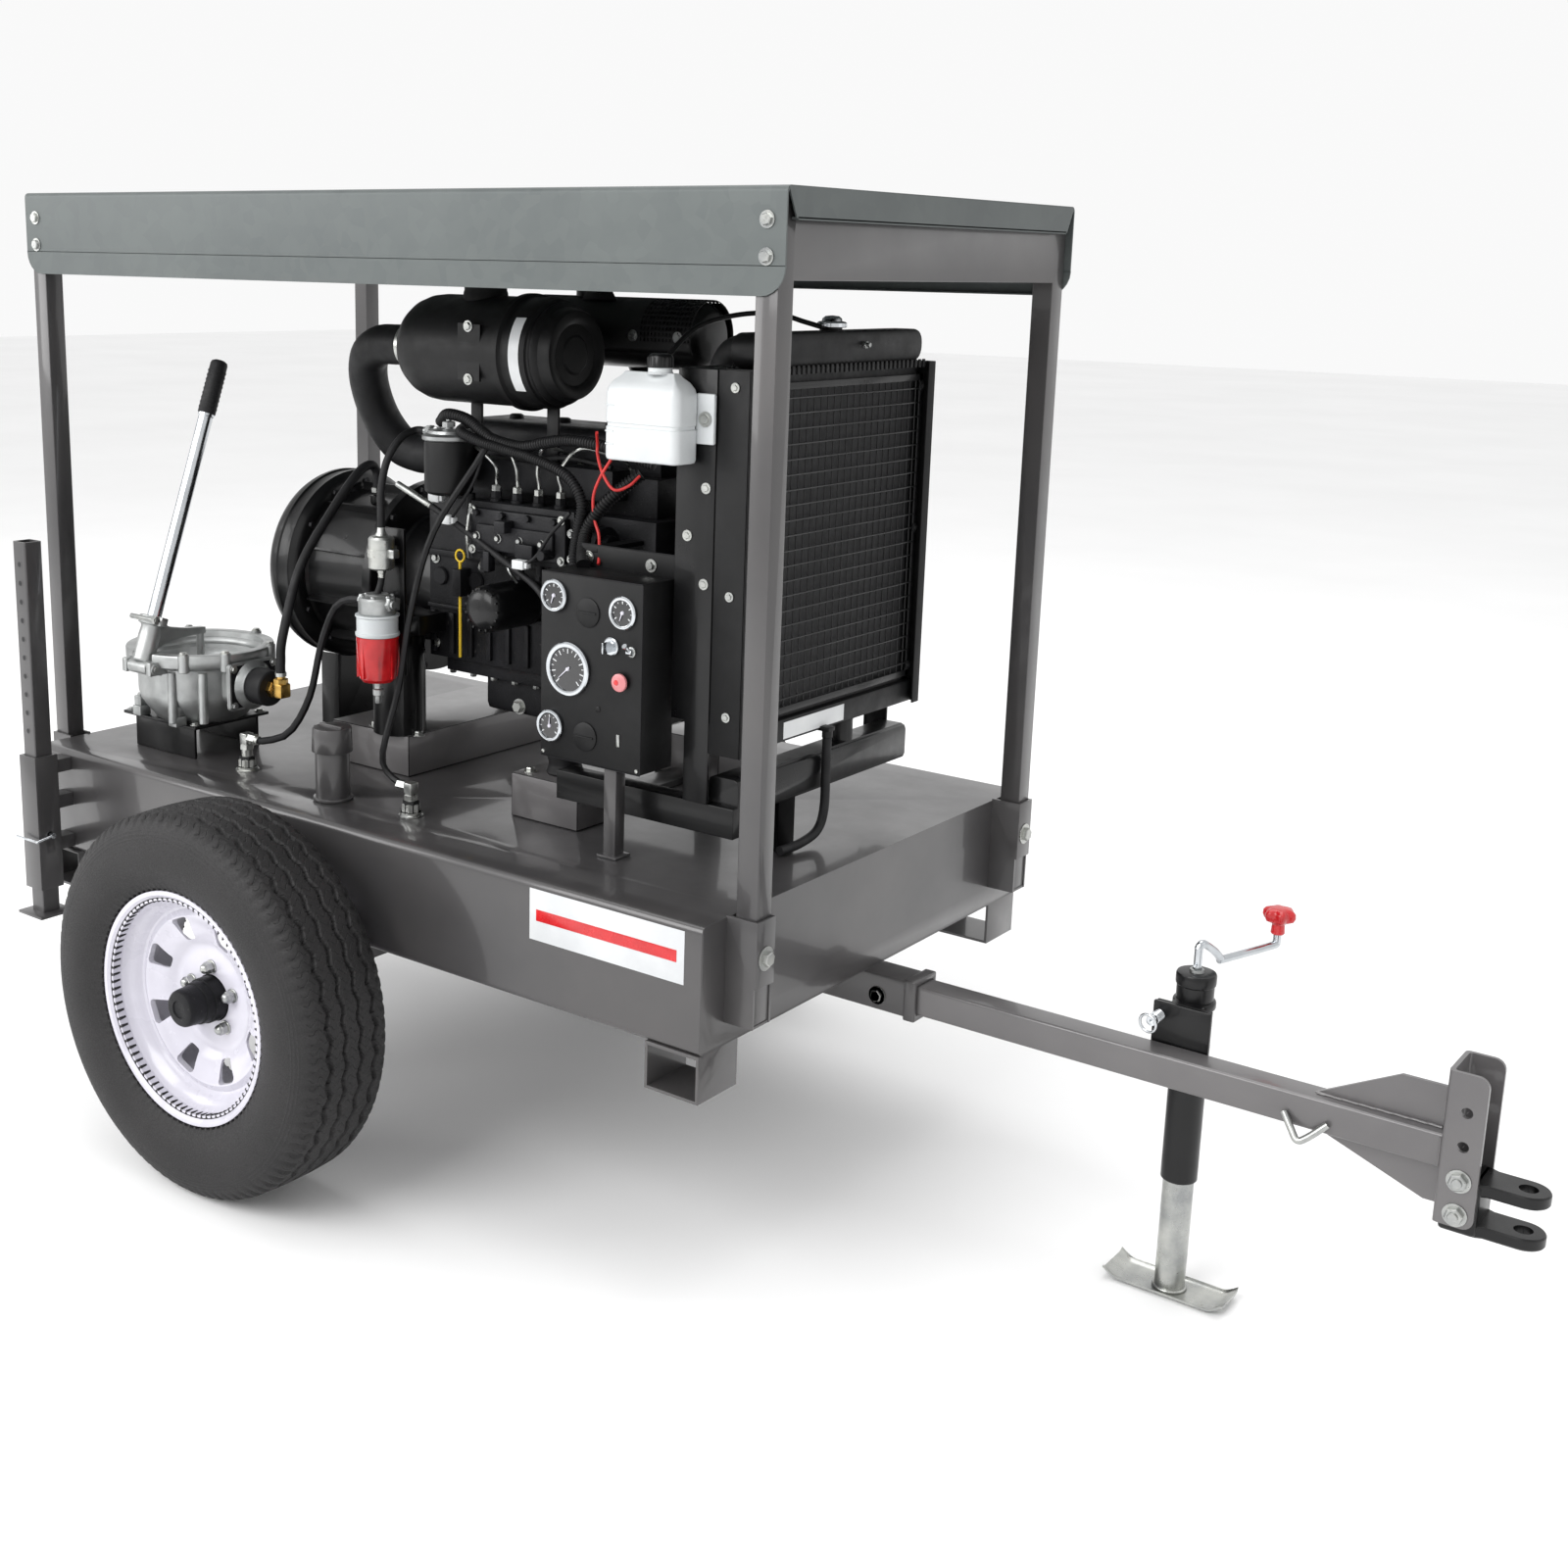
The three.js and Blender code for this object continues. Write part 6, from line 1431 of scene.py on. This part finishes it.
def lever():
    x = PUMP[0]
    lean = (Matrix.Translation((0, LEVER_Y, LEVER_Z)) @ Matrix.Rotation(rad(LEVER_LEAN), 4, "X")
            @ Matrix.Translation((0, -LEVER_Y, -LEVER_Z)))
    s = Shape()
    base = s.count()
    s.lathe("z", [(LEVER_Z + 10, 0.2), (LEVER_Z + 10, 17), (LEVER_Z + 13, 20.4), (LEVER_Z + 60, 20.8),
                  (LEVER_Z + 76, 19.6),
                  (LEVER_Z + 80, 21), (LEVER_Z + 82, 26), (LEVER_Z + 84, 27), (LEVER_Z + 96, 27),
                  (LEVER_Z + 98, 25),
                  (LEVER_Z + 98, 0.2)], (x, LEVER_Y), 48)
    s.box(x + 20, x + 34, LEVER_Y - 8, LEVER_Y + 8, LEVER_Z + 81, LEVER_Z + 99, 2)
    s.turned_about(base, lean)
    s.lathe("x", [(x - 27, 0.2), (x - 27, 12.4), (x - 25.6, 13.8), (x + 25.6, 13.8), (x + 27, 12.4),
                  (x + 27, 0.2)], (LEVER_Y, LEVER_Z), 36)
    c = PUMP[1]
    web = [(LEVER_Y + 2, LEVER_Z + 2), (LEVER_Y + 22, LEVER_Z + 24), (LEVER_Y + 50, LEVER_Z + 38),
           (LEVER_Y + 90, LEVER_Z + 44),
           (c + 8, LEVER_Z + 45), (c + 8, LEVER_Z + 57), (c - 40, LEVER_Z + 61), (c - 76, LEVER_Z + 68),
           (LEVER_Y + 44, LEVER_Z + 80),
           (LEVER_Y + 36, LEVER_Z + 92), (LEVER_Y + 14, LEVER_Z + 50)]
    s.prism("x", web, x - 7, x + 7)
    s.rod("z", 7.6, LEVER_Z - 3, LEVER_Z + 48, (x, c), 28)
    piece("pump_lever_socket", s, ALU, body="pump_handle", stands_for=("pump_lever",))
    tube = Shape()
    base = tube.count()
    tube.rod("z", 13.8, LEVER_Z + 95, LEVER_Z + 505, (x, LEVER_Y), 36)
    tube.rod("z", 15.6, LEVER_Z + 494, LEVER_Z + 510, (x, LEVER_Y), 36)
    tube.turned_about(base, lean)
    piece("pump_lever_tube", tube, CHROME, body="pump_handle")
    grip = Shape()
    base = grip.count()
    z = LEVER_Z + 500
    grip.lathe("z", [(z, 10), (z, 16), (z + 2, 17), (z + 98, 16.6), (z + 103, 15), (z + 106, 10),
                     (z + 106, 0.2), (z, 0.2)], (x, LEVER_Y), 40)
    for i in range(9):
        grip.lathe("z", [(z + 10 + 9 * i, 15), (z + 10 + 9 * i, 17.6), (z + 13 + 9 * i, 17.6),
                         (z + 13 + 9 * i, 15)], (x, LEVER_Y), 40)
    grip.turned_about(base, lean)
    piece("pump_lever_grip", grip, RUBBER, body="pump_handle")
    pins = Shape()
    pins.rod("x", 5.8, x - 47, x + 47, (LEVER_Y, LEVER_Z), 24)
    base = pins.count()
    pins.rod("x", 5, x - 36, x + 42, (LEVER_Y - 24, LEVER_Z + 90), 20)
    pins.hexagon("x", 9, x + 34, x + 41, (LEVER_Y - 24, LEVER_Z + 90))
    pins.turned_about(base, lean)
    piece("pump_lever_pins", pins, ZINC, body="pump_handle")


pump()
lever()
DONE |= {"pump_base", "pump_body", "priming_hose", "pump_lever"}

# ---------------------------------------------------------- tongue, jack, hitch

TONGUE_Z, CHANNEL_X, CLEVIS_X = 410.0, 1751.3, 1862.1
HOLE_X, HOLE_Z, PITCH = 1781.3, 331.6, 50.8
JACK = (1342.8, 75.0)


def tongue():
    rear, end, h = 649.8, 1751.0, 25.4
    s = Shape()
    outline = rounded(-h, h, TONGUE_Z - h, TONGUE_Z + h, 5)
    inner = rounded(-h + 5, h - 5, TONGUE_Z - h + 5, TONGUE_Z + h - 5, 2)
    s.grid([[(x, y, z) for y, z in ring] for x,
            ring in ((rear, inner), (rear, outline), (end, outline), (end, inner), (rear, inner))])
    s.prism("y", [(end - 190, TONGUE_Z + h - 1), (end - 70, TONGUE_Z + 88), (end, TONGUE_Z + 88),
                  (end, TONGUE_Z + h - 1)], -3.2, 3.2)
    s.prism("y", [(end - 190, TONGUE_Z - h + 1), (end, TONGUE_Z - h + 1), (end, TONGUE_Z - 88),
                  (end - 24, TONGUE_Z - 88)], -3.2, 3.2)
    # tongue in the lighter copy of the grey paint: painted light from its stronger lighting
    piece("tongue_tube", s, LIT_GREY_PAINT, stands_for=("tongue_bar",))
    hooks = Shape().tube([(end - 222, -h - 3, TONGUE_Z - 6), (end - 206, -h - 12, TONGUE_Z - 26),
                          (end - 194, -h - 18, TONGUE_Z - 38),
                          (end - 180, -h - 14, TONGUE_Z - 30), (end - 158, -h - 3, TONGUE_Z - 8)], 5.4, 16,
                         6)
    piece("chain_hook", hooks, ZINC)
    welds = Shape()
    for z in (TONGUE_Z + h + 1, TONGUE_Z - h - 1):
        for side in (-1, 1):
            welds.tube([(end - 184 + 8 * i, side * (4.4 + 0.7 * math.sin(2.1 * i)), z) for i in range(23)],
                       2.6, 8, 2)
    for side in (-1, 1):
        welds.tube([(end - 2.4, side * (h + 1), TONGUE_Z - h + 4 + 6 * i) for i in range(8)], 3.0, 8, 2)
        welds.tube([(end - 2.4, side * 4.6, TONGUE_Z + h + 4 + 8 * i) for i in range(8)], 2.6, 8, 2)
        welds.tube([(end - 2.4, side * 4.6, TONGUE_Z - h - 4 - 8 * i) for i in range(8)], 2.6, 8, 2)
    # welds in the same lighter copy of the grey paint: painted light
    piece("tongue_welds", welds, LIT_GREY_PAINT)
    refined("tongue_receiver", PAINT, 3.2)
    cross = Shape()
    for side in (-1, 1):
        bolt(cross, "y", (838, TONGUE_Z - 6), side * 31.8, side, 11, 8, 16)
    piece("tongue_cross_bolt", cross, ZINC)


def channel():
    """Folded channel with rounded corners, a soft inside bend and four pairs of holes."""
    half, thick, front, low, top = 44.45, 6.35, 1806.3, 313.0, 540.0
    s = Shape()
    profile = [(CHANNEL_X, -half + 7), (CHANNEL_X + 1.2, -half + 3), (CHANNEL_X + 3, -half + 1.2),
               (CHANNEL_X + 7, -half),
               (front, -half), (front, -half + thick), (CHANNEL_X + 11, -half + thick),
               (CHANNEL_X + 8, -half + 8),
               (CHANNEL_X + thick, -half + 11)]
    outline = profile + [(x, -y) for x, y in reversed(profile)]
    s.prism("z", outline, low, top)
    # channel in the lighter copy of the grey paint: painted light from the tongue's stronger lighting
    obj = piece("hitch_channel", s, LIT_GREY_PAINT, stands_for=("tongue_channel",))
    for z, up in ((low, 1), (top, -1)):
        c = Shape()
        arc = [(front - 16 + 16 * math.cos(rad(a)), z + up * (16 - 16 * math.sin(rad(a))))
               for a in range(0, 91, 15)]
        c.prism("y", [(front + 2, z + up * 16)] + arc + [(front - 16, z - up * 2), (front + 2, z - up * 2)],
                -60, 60)
        carved(obj, c)
    for i in range(4):
        carved(obj, Shape().lathe("y", [(-60, 0.3), (-60, 8), (60, 8), (60, 0.3)],
                                  (HOLE_X, HOLE_Z + PITCH * i), 32))


def clevis():
    half = 37.7
    low, high = HOLE_Z - 31, HOLE_Z + PITCH - 2
    s = Shape().box(1758, 1809.3, -half, half, low, high, 6, 3)
    for z in (low, high - 18):
        outline = [(1798, -half + 2), (1806, -half + 3), (1816, -30)]
        outline += [(CLEVIS_X + 30 * math.cos(rad(a)), 30 * math.sin(rad(a))) for a in range(-90, 91, 10)]
        outline += [(1816, 30), (1806, half - 3), (1798, half - 2)]
        inset = [(CLEVIS_X - 20 + (x - CLEVIS_X + 20) * 0.965, y * 0.93) for x, y in outline]
        s.grid([[(x, y, q) for x, y in ring] for q,
                ring in ((z, inset), (z + 2.4, outline), (z + 15.6, outline), (z + 18, inset))], cap=True)
    obj = piece("clevis_hitch", s, BLACK, stands_for=("hitch_clevis",))
    carved(obj, Shape().lathe("z", [(low - 5, 0.3), (low - 5, 13), (high + 5, 13), (high + 5, 0.3)],
                              (CLEVIS_X, 0), 40))
    bolts = Shape()
    for i in (0, 1):
        for side in (-1, 1):
            bolt(bolts, "y", (HOLE_X, HOLE_Z + PITCH * i), side * 44.6, side, 13, 10, 17)
        bolts.rod("y", 7, 44, 61, (HOLE_X, HOLE_Z + PITCH * i), 24)
        bolts.rod("y", 7, -58, -44, (HOLE_X, HOLE_Z + PITCH * i), 24)
    piece("clevis_bolts", bolts, ZINC)


def jack():
    x, y = JACK
    pivot = TONGUE_Z + 56
    s = Shape()
    s.box(x - 44, x + 44, 34.3, 40.2, pivot - 34, pivot + 34, 1.5)
    tube = [(195.5, 24.7), (195.5, 27.5), (197, 28.5), (486, 28.5), (487, 32), (489, 33), (497, 33),
            (499, 32), (500, 28.8),
            (523, 28.8), (525, 30.6), (528, 31), (540, 31), (543, 29.6), (544, 27), (544, 7), (536, 7),
            (532, 24.7)]
    s.lathe("z", tube, JACK, 56)
    piece("jack_outer_tube", s, BLACK, body="jack", stands_for=("jack_tube",))
    saddle = piece("jack_saddle", Shape().box(x - 25, x + 25, 39, y - 18, pivot - 33, pivot + 33, 3), BLACK,
                   body="jack")
    carved(saddle, Shape().lathe("z", [(400, 0.3), (400, 27), (520, 27), (520, 0.3)], JACK, 56))
    rim_ring = Shape()
    rim_ring.lathe("z", [(543, 7.2), (543, 12), (548, 11), (549, 7.2)], JACK, 32)
    rim_ring.rod("y", 3.2, y + 10, y + 17, (x, 546), 16)
    piece("jack_top_collar", rim_ring, ZINC, body="jack")
    leg = Shape()
    leg.lathe("z", [(5, 20.5), (5, 24), (400, 24), (400, 20.5)], JACK, 56)
    section = [(-99, 13), (-92, 8), (-84, 3), (-76, 0.3), (76, 0.3), (84, 3), (92, 8), (99, 13)]
    rows = []
    for dy, lift in ((-38, 5), (-36, 3), (-31, 1), (-26, 0), (26, 0), (31, 1), (36, 3), (38, 5)):
        rows.append([(x + dx, y + dy, z + lift) for dx,
                     z in section] + [(x + dx, y + dy, z + lift + 4) for dx, z in reversed(section)])
    leg.grid(rows, cap=True)
    leg.torus((x, y, 6.5), (0, 0, 1), 25, 2.6)
    piece("jack_inner_leg", leg, ZINC, body="jack_foot", stands_for=("jack_leg",))
    crank = Shape()
    cx, cy = x + 59, y + 181
    crank.tube([(x, y, 440), (x, y, 570), (x, y, 582), (x + 3, y + 8, 588), (x + 12, y + 34, 571),
                (x + 17, y + 50, 556), (x + 19, y + 60, 552),
                (cx - 4, cy - 14, 552), (cx - 1, cy - 3, 553), (cx, cy, 558), (cx, cy, 613)], 6.35, 20, 6)
    crank.rod("z", 9, 170, 450, JACK, 24)
    crank.rod("y", 2.6, y - 12, y + 12, (x, 556), 14)
    piece("jack_crank_rod", crank, CHROME, body="jack_handle", stands_for=("jack_crank",))
    knob = Shape()
    rings = []
    for z, r, lobe in ((570, 9.6, 0), (572, 11, 0), (586, 10, 0), (589, 12, 0.2), (591, 17, 1),
                       (594, 21.5, 2.4), (600, 23.6, 3.2),
                       (607, 23, 3), (611, 20, 2.4), (613.4, 15, 1), (614, 9, 0)):
        ring = []
        for i in range(72):
            a = math.tau * i / 72
            q = r + lobe * math.cos(6 * a)
            ring.append((cx + q * math.cos(a), cy + q * math.sin(a), z))
        rings.append(ring)
    knob.grid(rings, cap=True)
    piece("jack_crank_knob", knob, RED, body="handle_knob", stands_for=("jack_knob",))
    pin = Shape()
    px, pz = x - 35, pivot + 12
    pin.rod("y", 6, -2, 33.4, (px, pz), 24)
    pin.lathe("y", [(-6, 3), (-6, 8), (-3, 9), (0, 9), (0, 3)], (px, pz), 24)
    pin.torus((px, -18, pz), (0.2, 1, 0.1), 14.4, 2.2)
    coil = [(px + 8.4 * math.cos(0.9 * i), 1 + i * 0.42, pz + 8.4 * math.sin(0.9 * i)) for i in range(64)]
    pin.tube(coil, 1.1, 8, 2)
    piece("jack_pin_and_ring", pin, CHROME, body="jack_lock", stands_for=("jack_pull_pin",))
    refined("jack_bracket", BLACK, 1.4)


def stabiliser():
    x, y = -738.8, -570.0
    refined("stabiliser_sleeve", PAINT, 2.4)
    s = Shape()
    outline = rounded(x - 19, x + 19, y - 19, y + 19, 3.4)
    inner = rounded(x - 16, x + 16, y - 16, y + 16, 1)
    s.grid([[(u, v, z) for u, v in ring] for z,
            ring in ((334, inner), (334, outline), (1067, outline), (1067, inner), (334, inner))])
    s.box(x - 38, x + 38, y - 38, y + 38, 328.3, 334.3, 1.4)
    for i in range(10):
        for side in (-1, 1):
            y0, y1 = sorted((y + side * 18.8, y + side * 19.3))
            s.lathe("y", [(y0, 5), (y0, 7), (y1, 7), (y1, 5)], (x, 700 + 36 * i), 24)
    piece("stabiliser_tube", s, PAINT, body="stabiliser", stands_for=("stabiliser_leg",))
    holes = Shape()
    for i in range(10):
        for side in (-1, 1):
            y0, y1 = sorted((y + side * 19.05, y + side * 19.2))
            holes.lathe("y", [(y0, 0.2), (y0, 6.4), (y1, 6.4), (y1, 0.2)], (x, 700 + 36 * i), 24)
    piece("stabiliser_hole_shadows", holes, CORE, body="stabiliser")


tongue()
channel()
clevis()
jack()
stabiliser()
DONE |= {"tongue_bar", "tongue_receiver", "tongue_channel", "hitch_clevis", "jack_tube", "jack_leg",
         "jack_crank",
         "jack_knob", "jack_pull_pin", "jack_bracket", "stabiliser_sleeve", "stabiliser_leg"}

# --------------------------------------------------- pieces refined from the CAD

for node in frame["nodes"]:
    if node not in DONE:
        refined(node)

# ------------------------------------------------------------ studio and camera


def studio():
    bm = bmesh.new()
    bmesh.ops.create_grid(bm, x_segments=2, y_segments=2, size=30.0)
    mesh = mesh_of("studio_floor", bm)
    mesh.materials.append(FLOOR_MAT)
    floor = bpy.data.objects.new("studio_floor", mesh)
    SCENE.collection.objects.link(floor)
    world = bpy.data.worlds.new("studio")
    world.use_nodes = True
    world.node_tree.nodes["Background"].inputs["Color"].default_value = (1.0, 1.0, 1.0, 1.0)
    world.node_tree.nodes["Background"].inputs["Strength"].default_value = 0.95
    SCENE.world = world
    lamps = [
        ("key_light", (-0.8, -5.5, 4.6), 4.0, 250.0),
        ("side_light", (-5.0, -4.0, 3.0), 3.0, 110.0),
        ("front_light", (6.0, 1.0, 2.6), 3.0, 12.0),
        ("top_light", (-0.5, 1.0, 6.5), 5.0, 170.0),
    ]
    for name, where, size, power in lamps:
        data = bpy.data.lights.new(name, "AREA")
        data.shape = "SQUARE"
        data.size = size
        data.energy = power
        lamp = bpy.data.objects.new(name, data)
        lamp.location = where
        lamp.rotation_mode = "QUATERNION"
        lamp.rotation_quaternion = (Vector((0, 0, 0.7)) - Vector(where)).to_track_quat("-Z", "Y")
        SCENE.collection.objects.link(lamp)


CAMERA_AT = (1.83762, -2.63859, 1.60252)
CAMERA_AHEAD = (-0.5978, 0.7710, -0.2196)
CAMERA_ROLL, CAMERA_LENS = 1.12, 43.17
CAMERA_SHIFT = (0.09, -0.0625)


def camera():
    """Camera solved from the edges of the tank and the roof in the photo."""
    ahead = Vector(CAMERA_AHEAD).normalized()
    level = ahead.cross(Vector((0, 0, 1))).normalized()
    above = level.cross(ahead)
    roll = rad(CAMERA_ROLL)
    right = math.cos(roll) * level + math.sin(roll) * above
    up = -math.sin(roll) * level + math.cos(roll) * above
    data = bpy.data.cameras.new("camera")
    data.sensor_width = 36.0
    data.lens = CAMERA_LENS
    data.shift_x, data.shift_y = CAMERA_SHIFT
    data.clip_start = 0.05
    data.clip_end = 100.0
    cam = bpy.data.objects.new("camera", data)
    turn = Matrix((right, up, -ahead)).transposed().to_4x4()
    cam.matrix_world = Matrix.Translation(CAMERA_AT) @ turn
    SCENE.collection.objects.link(cam)
    SCENE.camera = cam


studio()
camera()
SCENE.view_settings.view_transform = "Standard"
bpy.context.view_layer.update()
